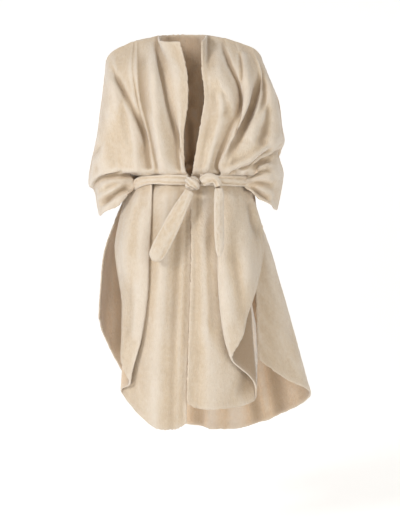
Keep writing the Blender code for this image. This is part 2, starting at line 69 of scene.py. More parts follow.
SEAM_Y = 6.0
SEAM_GAP = 3.2
TIP_GAP = 6.0
CREASE_GAP = 11.0
VALLEY_HALF = 4.0
PLEAT_BLEND = 24.0
TOP_FOLD_HALF = 2.0
BELT_TOP = -418.0
BELT_MIDDLE = -431.0
BELT_HEIGHT = 27.0
BELT_THICK = 11.0
WAIST_BACK = 125.0
SQUARENESS = 2.2

FRONT_SECTIONS = {
    # name     height  centre  half  depth
    "chest": (-110.0, -3.0, 251.0, 112.0),
    "bust": (-190.0, 3.0, 264.0, 130.0),
    "ribs": (-290.0, 4.0, 281.0, 142.0),
    "blouse": (-388.0, 2.0, 286.0, 154.0),
    "tuck": (-402.0, 6.0, 250.0, 154.0),
    "under": (-411.0, 10.0, 205.0, 148.0),
    "gather": (BELT_TOP, 12.0, 180.0, 143.0),
    "belt": (BELT_MIDDLE, 12.0, 180.0, 143.0),
    "waist": (-447.0, 12.0, 182.0, 144.0),
    "skirt": (-485.0, 12.0, 206.0, 152.0),
    "hip": (-640.0, 8.0, 243.0, 168.0),
    "thigh": (-770.0, 6.0, 244.0, 176.0),
    "knee": (-890.0, 5.0, 248.0, 182.0),
    "calf": (-1015.0, 4.0, 254.0, 187.0),
    "hem": (-1180.0, 4.0, 260.0, 190.0),
}

FRONT_LINES = ("edge", "band", "neck", "roll", "tip", "crease", "lobe", "side")
ARM_LINES = ("arm_inner", "arm_front", "arm_outer", "seam")
UPPER = ("chest", "bust", "ribs", "blouse", "tuck", "under", "gather", "belt")
LOWER = ("belt", "waist", "skirt", "hip", "thigh", "knee", "calf", "hem")

# Where each fold line crosses each section, across the front.
RIGHT_ACROSS = {
    #          edge   band   neck   roll    tip  crease   lobe   side
    "chest": (-5, -38, -72, -98, -146, -164, -183, -203),
    "bust": (-1, -30, -60, -97, -137, -152, -170, -190),
    "ribs": (-12, -24, -37, -88, -114, -131, -155, -185),
    "blouse": (-10, -17, -25, -71, -95, -112, -143, -182),
    "tuck": (-7, -15, -24, -68, -95, -112, -139, -176),
    "under": (-3, -12, -22, -64, -94, -114, -137, -167),
    "gather": (2, -9, -20, -60, -99, -114, -136, -158),
    "belt": (5, -7, -20, -60, -109, -106, -133, -156),
    "waist": (6, -7, -20, -61, -119, -104, -135, -159),
    "skirt": (7, -8, -22, -65, -134, -105, -148, -182),
    "hip": (6, -12, -31, -80, -172, -111, -178, -217),
    "thigh": (3, -17, -37, -88, -173, -118, -166, -206),
    "knee": (-2, -22, -42, -93, -183, -136, -182, -226),
    "calf": (-6, -26, -46, -96, -192, -168, -205, -240),
    "hem": (-9, -29, -48, -98, -190, -178, -210, -244),
}
# How far each fold line stands off the plain section there.
RIGHT_LIFT = {
    "chest": (0, 2, -16, 13, -14, -16, -15, -12),
    "bust": (0, 3, -17, 16, -15, -18, -12, -4),
    "ribs": (0, 4, -13, 20, -12, -16, 4, 6),
    "blouse": (0, 2, -6, 18, -8, -10, 10, 2),
    "tuck": (0, 0, -4, 9, -9, 1, 5, 0),
    "under": (-1, -2, -4, 3, -10, 0, 2, 0),
    "gather": (-2, -3, -4, -2, -17, 0, 0, -1),
    "belt": (-2, -3, -4, -3, -17, 0, 0, -1),
    "waist": (-2, -3, -4, -2, -17, 0, 1, 0),
    "skirt": (0, -1, -3, 4, -18, 3, 8, 0),
    "hip": (2, 0, -5, 14, -22, 16, 26, -10),
    "thigh": (3, 0, -6, 14, -20, 18, 20, 6),
    "knee": (3, 0, -6, 12, -18, 18, 18, 14),
    "calf": (2, 0, -5, 10, -14, 15, 22, 14),
    "hem": (2, 0, -4, 8, -12, 12, 18, 12),
}
LEFT_ACROSS = {
    #         edge   band  neck  roll  tip  crease  lobe  side
    "chest": (44, 52, 62, 92, 136, 168, 205, 217),
    "bust": (51, 59, 68, 106, 156, 174, 194, 210),
    "ribs": (36, 45, 54, 84, 118, 138, 160, 190),
    "blouse": (19, 27, 36, 60, 84, 95, 122, 180),
    "tuck": (17, 25, 33, 56, 92, 98, 124, 178),
    "under": (15, 22, 30, 53, 101, 96, 125, 180),
    "gather": (13, 20, 28, 50, 112, 94, 128, 181),
    "belt": (12, 18, 26, 49, 116, 94, 129, 180),
    "waist": (12, 18, 26, 50, 120, 94, 131, 180),
    "skirt": (12, 19, 27, 52, 134, 93, 138, 190),
    "hip": (13, 21, 30, 58, 168, 89, 166, 233),
    "thigh": (10, 19, 30, 62, 181, 92, 164, 222),
    "knee": (6, 16, 28, 64, 189, 109, 166, 214),
    "calf": (2, 13, 26, 65, 198, 150, 190, 226),
    "hem": (-1, 10, 24, 65, 196, 158, 196, 232),
}
LEFT_LIFT = {
    "chest": (0, 0, 1, 6, -15, 5, -13, -6),
    "bust": (0, 0, 2, 10, -16, 12, -16, -2),
    "ribs": (0, 1, 2, 10, -11, 12, -11, 2),
    "blouse": (0, 1, 2, 10, -9, 2, 2, 0),
    "tuck": (0, 0, 1, 6, -13, 0, 4, 0),
    "under": (-1, -1, 0, 2, -15, 0, 2, 0),
    "gather": (-2, -3, -3, -2, -17, 0, 0, -1),
    "belt": (-2, -3, -3, -3, -17, 0, 0, -1),
    "waist": (-2, -3, -3, -2, -17, 0, 1, 0),
    "skirt": (0, -1, -1, 3, -18, 4, 9, 4),
    "hip": (2, 1, 2, 8, -22, 14, 28, 14),
    "thigh": (3, 1, 2, 8, -20, 16, 34, 16),
    "knee": (3, 1, 1, 7, -18, 18, 30, 16),
    "calf": (2, 0, 0, 6, -14, 14, 22, 12),
    "hem": (2, 0, 0, 5, -12, 12, 18, 10),
}

# The top of each line, on the neck edge or the shoulder seam: across, back, up.
RIGHT_TOP = {
    "edge": (-25, -86, -27),
    "band": (-82, -48, -21),
    "neck": (-92, 6, -1),
    "roll": (-118, 6, -7),
    "tip": (-151, 6, -13),
    "crease": (-163, 6, -17),
    "lobe": (-188, 6, -27),
    "side": (-210, 6, -37),
    "arm_inner": (-225, 6, -47),
    "arm_front": (-234, 6, -56),
    "arm_outer": (-240, 6, -65),
    "seam": (-243, 6, -74),
}
LEFT_TOP = {
    "edge": (43, -84, -27),
    "band": (54, -52, -13),
    "neck": (60, 6, 0),
    "roll": (86, 6, -2),
    "tip": (108, 6, -6),
    "crease": (140, 6, -16),
    "lobe": (172, 6, -27),
    "side": (190, 6, -34),
    "arm_inner": (203, 6, -42),
    "arm_front": (212, 6, -51),
    "arm_outer": (218, 6, -61),
    "seam": (222, 6, -72),
}

# The arm lines, section by section, down to the sleeve hem: (across, back, up) for each.
RIGHT_SLEEVE = {
    #          arm_inner          arm_front          arm_outer          seam
    "chest": ((-219, -60, -112), (-233, -46, -116), (-244, -22, -120), (-249, 6, -124)),
    "bust": ((-208, -96, -192), (-231, -82, -194), (-249, -42, -197), (-258, 6, -200)),
    "ribs": ((-214, -102, -292), (-243, -86, -294), (-264, -46, -297), (-274, 6, -300)),
    "blouse": ((-210, -110, -398), (-246, -96, -407), (-277, -54, -425), (-297, 6, -444)),
    "tuck": ((-206, -92, -403), (-241, -78, -412), (-268, -42, -431), (-283, 6, -457)),
    "under": ((-204, -90, -424), (-243, -82, -438), (-266, -46, -457), (-277, 6, -476)),
    "gather": ((-205, -86, -458), (-242, -74, -474), (-264, -42, -490), (-274, 6, -504)),
    "belt": ((-206, -86, -502), (-242, -76, -517), (-260, -44, -529), (-267, 6, -532)),
}
LEFT_SLEEVE = {
    "chest": ((219, -44, -112), (230, -34, -114), (237, -18, -117), (241, 6, -120)),
    "bust": ((226, -62, -190), (245, -56, -188), (258, -32, -186), (266, 6, -184)),
    "ribs": ((222, -88, -286), (248, -74, -278), (270, -42, -272), (281, 6, -266)),
    "blouse": ((216, -104, -362), (246, -84, -348), (271, -46, -336), (285, 6, -326)),
    "tuck": ((214, -90, -372), (240, -70, -362), (260, -36, -353), (269, 6, -348)),
    "under": ((212, -96, -398), (246, -84, -399), (272, -50, -404), (286, 6, -412)),
    "gather": ((212, -88, -446), (242, -74, -455), (264, -42, -462), (277, 6, -468)),
    "belt": ((210, -88, -480), (243, -78, -495), (259, -44, -511), (267, 6, -516)),
}

# The free edge of each sleeve beside the belt, at the last two sections: front, then back.
RIGHT_FREE = ((-158, -73, -441), (-176, -86, -472))
LEFT_FREE = ((165, -88, -436), (182, -97, -461))
BACK_RIGHT_FREE = ((-190, 56, -440), (-195, 58, -468))
BACK_LEFT_FREE = ((200, 48, -436), (203, 52, -462))

# The height of the hem at each line of the fronts, with two for each fold of the pleat.
RIGHT_HEM = (-1130, -1142, -1146, -1140, -1052, -1038, -1022, -1012, -950, -620)
LEFT_HEM = (-1064, -1076, -1081, -1086, -1070, -1030, -952, -940, -868, -590)

# The back's lines, section by section: (across, back) for the right side, flutes 1 to 3, the
# centre, flutes 5 and 6, the ridge, the flap and the left side.
BACK_SECTIONS = {
    "chest": (
        (-203, 46), (-155, 88), (-105, 101), (-55, 103), (-5, 108),
        (50, 103), (100, 101), (150, 86), (178, 68), (200, 46),
    ),
    "bust": (
        (-205, 62), (-160, 100), (-110, 116), (-55, 112), (0, 122),
        (55, 112), (110, 116), (160, 98), (188, 78), (212, 56),
    ),
    "ribs": (
        (-205, 74), (-160, 110), (-110, 130), (-55, 122), (2, 136),
        (58, 123), (112, 130), (162, 108), (190, 86), (212, 64),
    ),
    "blouse": (
        (-196, 84), (-156, 122), (-105, 148), (-50, 146), (6, 158),
        (62, 147), (116, 146), (160, 120), (182, 98), (202, 74),
    ),
    "tuck": (
        (-188, 72), (-148, 108), (-101, 136), (-48, 140), (7, 148),
        (63, 140), (116, 134), (160, 108), (182, 84), (199, 58),
    ),
    "under": (
        (-177, 50), (-142, 90), (-97, 118), (-46, 130), (9, 135),
        (64, 129), (116, 116), (160, 88), (181, 62), (195, 32),
    ),
    "skirt": (
        (-190, 38), (-154, 90), (-105, 124), (-49, 132), (10, 146),
        (70, 134), (130, 122), (184, 78), (198, 40), (200, 6),
    ),
    "hip": (
        (-252, 28), (-221, 98), (-156, 146), (-80, 142), (10, 164),
        (92, 142), (172, 146), (250, 62), (236, 6), (196, -10),
    ),
    "thigh": (
        (-266, 20), (-247, 104), (-178, 160), (-96, 144), (4, 180),
        (104, 146), (200, 154), (289, 58), (262, 0), (206, -22),
    ),
    "knee": (
        (-273, 16), (-261, 108), (-194, 170), (-110, 146), (-4, 192),
        (114, 148), (226, 162), (324, 56), (280, -6), (210, -30),
    ),
    "calf": (
        (-277, 12), (-269, 112), (-206, 178), (-122, 148), (-12, 201),
        (122, 150), (248, 168), (359, 54), (298, -8), (216, -34),
    ),
    "hem": (
        (-280, 10), (-275, 116), (-218, 186), (-134, 150), (-20, 210),
        (132, 152), (272, 174), (404, 52), (322, -10), (226, -36),
    ),
}
# At the belt the back follows the ring round the waist: where each line crosses it.
BACK_BELT_ACROSS = (-165, -137, -95, -45, 10, 65, 116, 158, 178, 189)
BACK_TOP = (
    (-210, 6, -37), (-150, 6, -13), (-92, 6, -1), (-58, 50, 5), (-16, 64, 7),
    (28, 50, 5), (60, 6, 0), (118, 6, -8), (152, 6, -20), (190, 6, -34),
)
BACK_HEM = (-845, -905, -1030, -1140, -1197, -1208, -1172, -1076, -1026, -962)
# The back half of each sleeve: (across, back, up), from the body outwards to the seam.
BACK_RIGHT_SLEEVE = {
    "chest": ((-221, 34, -112), (-234, 26, -116), (-244, 17, -120)),
    "bust": ((-224, 54, -192), (-243, 38, -195), (-254, 22, -198)),
    "ribs": ((-230, 66, -292), (-254, 48, -295), (-269, 26, -298)),
    "blouse": ((-228, 80, -402), (-264, 60, -414), (-288, 32, -430)),
    "tuck": ((-218, 64, -408), (-252, 46, -422), (-275, 26, -440)),
    "under": ((-214, 66, -430), (-250, 48, -444), (-270, 28, -462)),
    "gather": ((-202, 52, -460), (-242, 40, -476), (-266, 24, -492)),
    "belt": ((-206, 58, -494), (-246, 46, -513), (-262, 28, -526)),
}
BACK_LEFT_SLEEVE = {
    "chest": ((216, 34, -112), (228, 26, -114), (237, 17, -117)),
    "bust": ((232, 50, -190), (250, 38, -188), (261, 22, -186)),
    "ribs": ((234, 66, -288), (260, 50, -280), (275, 28, -273)),
    "blouse": ((226, 82, -390), (258, 60, -368), (278, 34, -346)),
    "tuck": ((218, 66, -398), (248, 46, -384), (265, 26, -364)),
    "under": ((216, 66, -420), (252, 50, -418), (278, 30, -416)),
    "gather": ((206, 54, -448), (242, 40, -454), (267, 24, -458)),
    "belt": ((210, 58, -480), (244, 46, -493), (260, 28, -508)),
}

BAND_START = -84.0
BAND_END = 267.5
BAND_STATIONS = 41

# Lengths of sash: where each passes, its width and thickness there, its twist and its curl.
LOOP = (
    (42, -174, -432, 27, 14, 0, 0),
    (50, -177, -427, 32, 15, 0, 2),
    (62, -180, -422, 32, 15, 4, 3),
    (75, -183, -423, 26, 14, 8, 3),
    (85, -185, -432, 22, 13, 4, 3),
    (89, -187, -445, 23, 12, -6, 4),
)
TAIL_RIGHT = (
    (6, -186, -458, 26, 13, 20, 3),
    (-8, -190, -484, 34, 11, 14, 3),
    (-32, -193, -530, 44, 9, 6, 2),
    (-55, -197, -576, 48, 9, 0, 2),
    (-77, -203, -618, 49, 9, 0, 2),
    (-90, -205, -643, 42, 9, 0, 2),
    (-97, -206, -657, 18, 8, 0, 1),
)
TAIL_LEFT = (
    (90, -188, -450, 23, 11, -10, 4),
    (90, -190, -472, 32, 10, -36, 8),
    (89, -194, -520, 38, 9, -48, 8),
    (90, -199, -570, 38, 9, -48, 8),
    (91, -203, -606, 34, 9, -46, 7),
    (91, -205, -630, 24, 9, -44, 5),
    (91, -206, -645, 10, 8, -42, 2),
)

# ------------------------------------------------------------------------- how fine the cloth is

# Steps between neighbouring lines, and between sections.
FRONT_STEPS = (7, 7, 13, 12, 5, 13, 5, 12, 11)
ARM_STEPS = (8, 8, 8, 8)
BACK_STEPS = (15, 15, 15, 15, 15, 15, 17, 15, 13)
UPPER_STEPS = (22, 16, 20, 22, 6, 6, 8, 8)
LOWER_ROWS = 150
LOWER_PACE = 1.08
LEVELS = 63
RIM_STEPS = 4
SLIT_TOP = sum(UPPER_STEPS[:-2])
SLIT_END = sum(UPPER_STEPS)
PLEAT_COLUMNS = slice(sum(FRONT_STEPS[:5]), sum(FRONT_STEPS[:6]) + 1)

# ------------------------------------------------------------------------------------- creases

# A crease is a soft trough with a ridge beside it, along a path drawn as seen from one side.
# Fronts and back are seen as (across, up), and the arms as (towards the back, up). The ridge lies
# on both sides, or where lean is 1 or -1, on the side of +X or -X of a path that runs down.
# A name is only for the reader.
Crease = namedtuple("Crease", "name width depth ridge lean path")
# Which coordinate runs across each view, and the way the cloth faces there.
SIDES = {
    "front": (0, (0.0, -1.0, 0.0)),
    "back": (0, (0.0, 1.0, 0.0)),
    "right": (1, (-1.0, 0.0, 0.0)),
    "left": (1, (1.0, 0.0, 0.0)),
}

RIGHT_CREASES = {
    "front": (
        ("neck pleat", 5, 7, 3, -1, (
            (-94, -14), (-90, -56), (-81, -103), (-71, -151), (-59, -209), (-42, -266),
            (-24, -324), (-13, -377))),
        ("breast pleat", 13, 3, 0, 0, ((-152, -120), (-136, -220), (-118, -300), (-104, -380))),
        ("sleeve pleat", 8, 8, 6, -1, (
            (-228, -70), (-216, -112), (-196, -150), (-170, -198), (-147, -244), (-128, -292),
            (-112, -340))),
        ("roll hang", 14, 4, 3, 0, ((-128, -36), (-130, -110), (-124, -180), (-104, -250))),
        ("edge drape", 18, 3, 2, 0, ((-34, -110), (-32, -200), (-30, -280), (-18, -350))),
        ("sleeve hang", 24, 3, 2, 0, ((-210, -150), (-198, -250), (-170, -360))),
        ("sleeve hang", 20, 3, 2, 0, ((-244, -130), (-248, -250), (-226, -380))),
        ("blouse edge", 6, 7, 5, 0, (
            (-262, -430), (-226, -419), (-190, -414), (-158, -413), (-140, -414))),
        ("cuff tuck", 8, 16, 7, 0, (
            (-258, -500), (-236, -484), (-212, -468), (-188, -455), (-172, -448))),
        ("cuff roll", 9, 5, 3, 0, ((-254, -462), (-226, -446), (-196, -438), (-176, -436))),
        ("edge fall", 28, 14, 0, 0, (
            (2, -440), (2, -520), (1, -700), (-3, -900), (-9, -1100), (-12, -1300))),
        ("roll hang", 16, 4, 3, 0, ((-86, -500), (-98, -640), (-104, -760), (-118, -900))),
        ("lobe hang", 14, 3, 3, 0, ((-150, -490), (-158, -560), (-160, -660))),
        ("lobe fall", 12, 4, 3, 0, ((-176, -700), (-170, -800), (-178, -900))),
    ),
    "right": (
        ("arm crook", 15, 4, 3, 0, ((-86, -330), (-50, -345), (-24, -350))),
    ),
}
LEFT_CREASES = {
    "front": (
        ("neck pleat", 5, 8, 5, 1, (
            (100, -18), (109, -52), (122, -88), (136, -120), (150, -156), (156, -198), (149, -244),
            (137, -282), (122, -316))),
        ("shoulder tuck", 5, 5, 3, 1, ((153, -44), (156, -100), (158, -150))),
        ("sleeve valley", 11, 9, 6, 1, (
            (220, -92), (210, -142), (196, -185), (184, -223), (166, -262), (149, -295),
            (127, -334), (111, -372))),
        ("valley twin", 7, 7, 4, 1, ((228, -128), (222, -176), (208, -226), (190, -262))),
        ("valley floor", 9, 5, 0, 0, ((196, -200), (172, -250), (140, -305))),
        ("elbow tuck", 7, 18, 8, 0, (
            (112, -421), (134, -407), (156, -396), (180, -386), (204, -369), (230, -350),
            (250, -332))),
        ("elbow twin", 6, 15, 7, 0, (
            (158, -412), (176, -404), (198, -388), (222, -376), (246, -366))),
        ("pinch", 6, 13, 7, 0, ((174, -424), (194, -412), (220, -402), (250, -398))),
        ("pinch", 6, 13, 7, 0, ((176, -434), (200, -436), (226, -440), (252, -444))),
        ("pinch", 6, 12, 7, 0, ((178, -442), (198, -456), (222, -474), (248, -488))),
        ("breast dip", 8, 4, 2, 0, ((97, -160), (110, -190), (114, -224), (108, -250))),
        ("breast drape", 22, 4, 2, 0, ((80, -110), (84, -180), (76, -250), (58, -340))),
        ("sleeve hang", 15, 5, 4, 0, ((238, -200), (232, -260), (206, -330))),
        ("hip drape", 18, 6, 4, 0, ((123, -600), (144, -703), (160, -773), (164, -850))),
        ("side tuck", 7, 9, 4, 1, ((176, -480), (184, -520), (192, -556), (216, -595))),
        ("lobe shade", 24, 12, 0, 0, (
            (200, -760), (192, -860), (184, -930), (172, -1000), (150, -1080))),
        ("strip hang", 16, 5, 3, 0, ((66, -520), (70, -640), (76, -780), (84, -920))),
    ),
    "left": (
        ("arm crook", 14, 4, 3, 0, ((-84, -350), (-50, -332), (-24, -324))),
    ),
}
BACK_CREASES = {
    "back": (
        ("yoke drape", 26, 6, 4, 0, (
            (-96, -30), (-70, -90), (-40, -140), (0, -160), (40, -138), (72, -86), (96, -30))),
        ("yoke drape", 22, 3, 3, 0, ((-84, -120), (-40, -192), (6, -214), (50, -190), (88, -124))),
        ("blade drape", 18, 8, 5, -1, (
            (-126, -40), (-120, -130), (-104, -230), (-84, -320), (-64, -396))),
        ("blade drape", 16, 8, 6, 1, (
            (128, -44), (124, -140), (106, -250), (86, -340), (68, -398))),
        ("middle drape", 18, 7, 5, 0, ((-2, -200), (-14, -280), (-20, -350), (-16, -410))),
        ("middle drape", 13, 4, 3, 0, ((14, -190), (28, -290), (38, -410))),
        ("side drape", 14, 9, 6, -1, (
            (-184, -84), (-178, -180), (-160, -270), (-134, -350), (-112, -398))),
        ("side drape", 14, 9, 6, 1, (
            (186, -90), (182, -200), (164, -290), (142, -360), (122, -400))),
        ("sleeve drape", 15, 6, 4, 0, ((-232, -170), (-226, -250), (-196, -330))),
        ("sleeve drape", 15, 6, 4, 0, ((236, -160), (232, -240), (206, -320))),
        ("blouse tuck", 9, 7, 4, 0, ((-172, -384), (-136, -396), (-96, -402), (-60, -404))),
        ("blouse tuck", 9, 7, 4, 0, ((176, -384), (140, -398), (104, -403), (70, -404))),
        ("blouse tuck", 8, 6, 4, 0, ((-36, -400), (6, -392), (48, -400))),
        ("flute break", 16, 7, 5, 0, ((-48, -466), (-58, -560), (-70, -680), (-90, -830))),
        ("flute break", 15, 7, 5, 0, ((66, -466), (80, -570), (92, -700), (104, -860))),
        ("flute break", 12, 7, 5, 0, ((-118, -464), (-140, -540), (-168, -640), (-186, -760))),
        ("flute break", 12, 7, 5, 0, ((140, -464), (168, -560), (204, -690), (232, -820))),
        ("flute break", 11, 6, 4, 0, ((10, -462), (12, -540), (6, -640))),
        ("hem fall", 24, 10, 6, 0, ((0, -640), (-6, -820), (-14, -1000), (-22, -1400))),
        ("hem fall", 20, 9, 6, 0, ((166, -600), (192, -800), (224, -980), (270, -1300))),
        ("hem fall", 17, 8, 5, 0, ((50, -700), (58, -860), (66, -1020), (80, -1400))),
        ("hem fall", 19, 8, 5, 0, ((-150, -560), (-166, -760), (-178, -900), (-196, -1240))),
        ("hem fall", 17, 8, 5, 0, ((-78, -740), (-88, -880), (-96, -1020), (-102, -1360))),
        ("elbow fold", 12, 5, 3, 0, ((-262, -330), (-226, -346), (-190, -350), (-160, -334))),
        ("elbow fold", 12, 5, 3, 0, ((264, -316), (228, -336), (192, -352), (160, -350))),
        ("cuff tuck", 9, 9, 5, 0, ((-260, -470), (-232, -462), (-206, -448))),
        ("cuff tuck", 9, 9, 5, 0, ((256, -440), (234, -442), (212, -436))),
    ),
    "front": (
        ("flap fall", 16, 5, 3, 0, ((262, -560), (300, -760), (344, -960))),
    ),
    "right": (
        ("arm crook", 15, 4, 3, 0, ((34, -352), (56, -346), (84, -330))),
    ),
    "left": (
        ("arm crook", 14, 4, 3, 0, ((34, -324), (56, -334), (84, -344))),
    ),
}

# A crease acts where the cloth faces the view by this much, and fades in and out along its path.
FACING = (0.05, 0.45)
FADE_IN = (-0.04, 0.24)
FADE_OUT = (-0.04, 0.20)
PATH_STEPS = 6
# The crest of a ridge and its outer slope, in widths of the crease, and how sharply it leans.
RIDGE_PLACE = 2.1
RIDGE_TAIL = 1.3
LEANING_TAIL = 3.0
LEAN_TURN = 1.5

# Gathers beside the belt: waves round the cloth, each with its length and phase.
GATHER_WAVES = ((31.0, 0.4), (47.0, 2.1), (73.0, 4.4))
GATHER_REACH = 26.0
# The oval that the sash lies on, and how soon above and below it the creases come back.
SASH_ROUND = 1.25
SASH_REACH = 196.0
SASH_FADE = 14.0
FAR = 999.0
# The tufts of the pile, with finer ones on them; and the rim's fuzz, and how far it rounds out.
TUFT_SIZE = 11.0
FINE_TUFTS = 2.1
FINE_SHARE = 0.5
FUZZ_SIZE = 3.0
RIM_REACH = 1.1
# Hollows are found against the cloth this many steps away, and marked this strongly.
# The mark paints shade into the hollows and a highlight onto the ridges.
HOLLOW_STEPS = (2, 4)
HOLLOW_GAIN = 4.5
# How much painted shade darkens the pile for each millimetre of a trough.
TROUGH_SHADE = 0.008
# How deep in shade the wrong side is, inside the pleat of each front below the sash.
PLEAT_SHADE = {-1.0: 0.45, 1.0: 2.6}

# Soft unevenness over the whole cloth: wavelengths along three slanting directions.
RIPPLES = (
    # across  depth  up     phase
    (0.043, 0.020, 0.012, 0.3),
    (-0.031, 0.036, 0.021, 1.7),
    (0.058, -0.041, 0.029, 3.9),
    (0.019, 0.052, -0.033, 5.2),
)

# The sash's lengthwise folds: how many across, how slowly they wander, phase and share.
BAND_PLEATS = ((2.1, 46.0, 0.3, 0.60), (4.3, 71.0, 1.9, 0.40))
LOOP_PLEATS = ((1.7, 40.0, 0.8, 0.60), (3.9, 64.0, 2.6, 0.40))
TAIL_PLEATS = ((1.2, 88.0, 1.1, 0.50), (2.9, 61.0, 2.7, 0.30))
WANDER = 1.6
# How far the band stands off the cloth, and how round the waist is that it faces away from.
BAND_EASE = 0.4
WAIST_ROUND = 1.4
# The sash's section: its squareness across and through, its tufts, how far apart those of its two
# faces are taken, the share of its width left at a rounded end, and how narrow its pale edge is.
SASH_SQUARE = (0.75, 0.7)
SASH_TUFTS = 1.1
SIDES_APART = 9.0
END_WIDTH = 0.4
# The pale edge is a painted highlight along the sash's outer edges.
EDGE_SHARPNESS = 8
STATION_STEPS = 12

# The band: how much taller and thicker it is drawn, its rise, its twist, and its waves along the
# way round, as (height, waves for each radian, phase). It thins and dips at the wearer's right.
BAND_TALLER = 4.5
BAND_THICKER = 1.0
BAND_RISE = 3.5
BAND_TWIST = 4.0
BAND_SWELLS = ((0.06, 7.3, 0.0), (0.04, 13.1, 1.0))
BAND_SWAY = (2.0, 3.1, 0.6)
BAND_THINNING = 0.12
THIN_FROM, THIN_TO = 0.75, 0.9
DIP_DEPTH, DIP_PLACE, DIP_WIDTH = 22.0, -176.0, 28.0
DIP_FRONT = (20.0, -60.0)

KNOT_CENTRE = (14.0, -167.0, -436.0)
KNOT_SIZE = (42.0, 36.0, 40.0)
KNOT_ROWS, KNOT_AROUND = 60, 96
KNOT_PITCH = 1.2
KNOT_SQUARE = 0.8
KNOT_TUFTS = 0.6
# The turn wrapped over the knot: its slant in degrees, and its edge, the seam beside it and the
# folds along it and beyond it, as shares of the knot's half size and heights in millimetres.
WRAP_SLANT = 38.0
WRAP_LEAN = 0.12
WRAP_EDGE = (0.56, 0.40)
WRAP_RISE = 2.2
WRAP_SEAM, SEAM_WIDTH, SEAM_DEPTH = 0.53, 0.09, 3.4
WRAP_FOLDS, WRAP_FOLD_HEIGHT = 11.0, 0.7
SIDE_FOLDS, SIDE_FOLD_HEIGHT = 6.0, 0.9

# The grain of the pile, in specks to a metre: its clumps, and the clouds, nap and fibres across
# and along the cloth; and the share of each in its height.
CLUMP_GRAIN = 95.0
CLOUD_GRAIN = (20.0, 7.0, 1.0)
NAP_GRAIN = (330.0, 75.0, 1.0)
FIBRE_GRAIN = (1500.0, 330.0, 1.0)
CLUMP_HEIGHT, NAP_HEIGHT, FIBRE_HEIGHT = 0.45, 0.40, 0.15

# The studio, in metres: the paper's floor, its bend and its wall; and each light's place, size
# and colour.
PAPER_FRONT, PAPER_BACK, PAPER_HALF, PAPER_TOP = -6.0, 2.2, 7.0, 6.0
BEND = 1.6
BEND_STEPS = 12
LIGHTS = {
    "key": ((-2.5, -2.8, 1.0), 1.1, (0.98, 0.98, 1.0)),
    "fill": ((2.6, -2.8, 0.2), 2.0, (1.0, 0.99, 0.97)),
    "rim": ((-0.6, 2.4, 1.6), 1.6, (1.0, 0.99, 0.97)),
}
SKY_COLOUR = (1.0, 0.96, 0.90, 1.0)


# ----------------------------------------------------------------------------------- settings


def length_field(name, text, default):
    return FloatProperty(name=name, description=text, default=default, unit="LENGTH")


def colour_field(name, text, default):
    return FloatVectorProperty(
        name=name, description=text, default=default, subtype="COLOR", size=3, min=0.0, max=1.0
    )


class CapeCloth(bpy.types.PropertyGroup):
    """Sizes of the cloth and its finish."""

    wall: length_field("Wall", "Thickness of the cloth with its pile", 0.003)
    edge_bead: length_field("Edge roll", "How much thicker the rolled edge is", 0.0026)
    edge_width: length_field("Edge roll width", "How far the rolled edge reaches in", 0.015)
    crease_depth: FloatProperty(
        name="Crease depth", description="Share of the drawn depth of the creases", default=1.0,
        subtype="FACTOR",
    )
    gather_front: length_field(
        "Front gathers", "Height of the gathers beside the belt, in front", 0.0016
    )
    gather_back: length_field(
        "Back gathers", "Height of the gathers beside the belt, behind", 0.0042
    )
    ripple: length_field("Ripple", "Soft unevenness of the whole cloth", 0.0013)
    tufts: length_field("Tufts", "Height of the uneven pile", 0.0007)


class CapeSash(bpy.types.PropertyGroup):
    """Sizes of the sash."""

    folds: length_field("Lengthwise folds", "Depth of the folds along the bunched sash", 0.0015)
    around: IntProperty(name="Facets around", description="Facets round the sash", default=48)
    pitch: length_field("Ring pitch", "Distance between the rings that make the sash", 0.0028)


class CapeColours(bpy.types.PropertyGroup):
    """Colours of the cloth."""

    cream: colour_field("Cream", "Main colour of the pile", (0.700, 0.565, 0.405))
    # Painted highlight: mixed onto ridges and rolled edges, besides the pile's paler clouds,
    # clumps, nap and fibres.
    pale: colour_field(
        "Pale", "Tips of the pile, on ridges and rolled edges", (0.840, 0.775, 0.690)
    )
    # Painted shade: mixed into creases, troughs and the pleat's wrong side, besides the pile's
    # darker clouds and nap.
    deep: colour_field("Deep", "Roots of the pile, in creases", (0.370, 0.265, 0.170))
    # Painted light: the wrong side is a warmer, brighter copy of the cream, standing in for warm
    # bounced light.
    inside: colour_field("Inside", "Wrong side of the cloth", (0.820, 0.625, 0.430))
    floor: colour_field("Floor", "Floor and backdrop", (0.93, 0.93, 0.93))


class CapeStage(bpy.types.PropertyGroup):
    """Camera, lights and floor."""

    aim: FloatVectorProperty(
        name="Aim", description="Where the camera looks", default=(0.036, 0.0, -0.68),
        subtype="XYZ", unit="LENGTH", size=3,
    )
    distance: length_field("Distance", "From the camera to its aim", 4.2)
    elevation: FloatProperty(
        name="Elevation", description="How far above its aim the camera stands",
        default=math.radians(4.0), subtype="ANGLE",
    )
    view_angle: FloatProperty(
        name="View angle", description="Height of the view", default=math.radians(21.4),
        subtype="ANGLE",
    )
    floor_height: length_field("Floor", "Height of the floor", -1.52)
    key_power: FloatProperty(name="Key light", description="Power of the key light", default=70.0)
    fill_power: FloatProperty(name="Fill light", description="Power of the fill", default=22.0)
    rim_power: FloatProperty(name="Rim light", description="Power of the rim light", default=18.0)
    sky: FloatProperty(name="Sky", description="Strength of the light all round", default=0.50)


# -------------------------------------------------------------------------- curves and sections


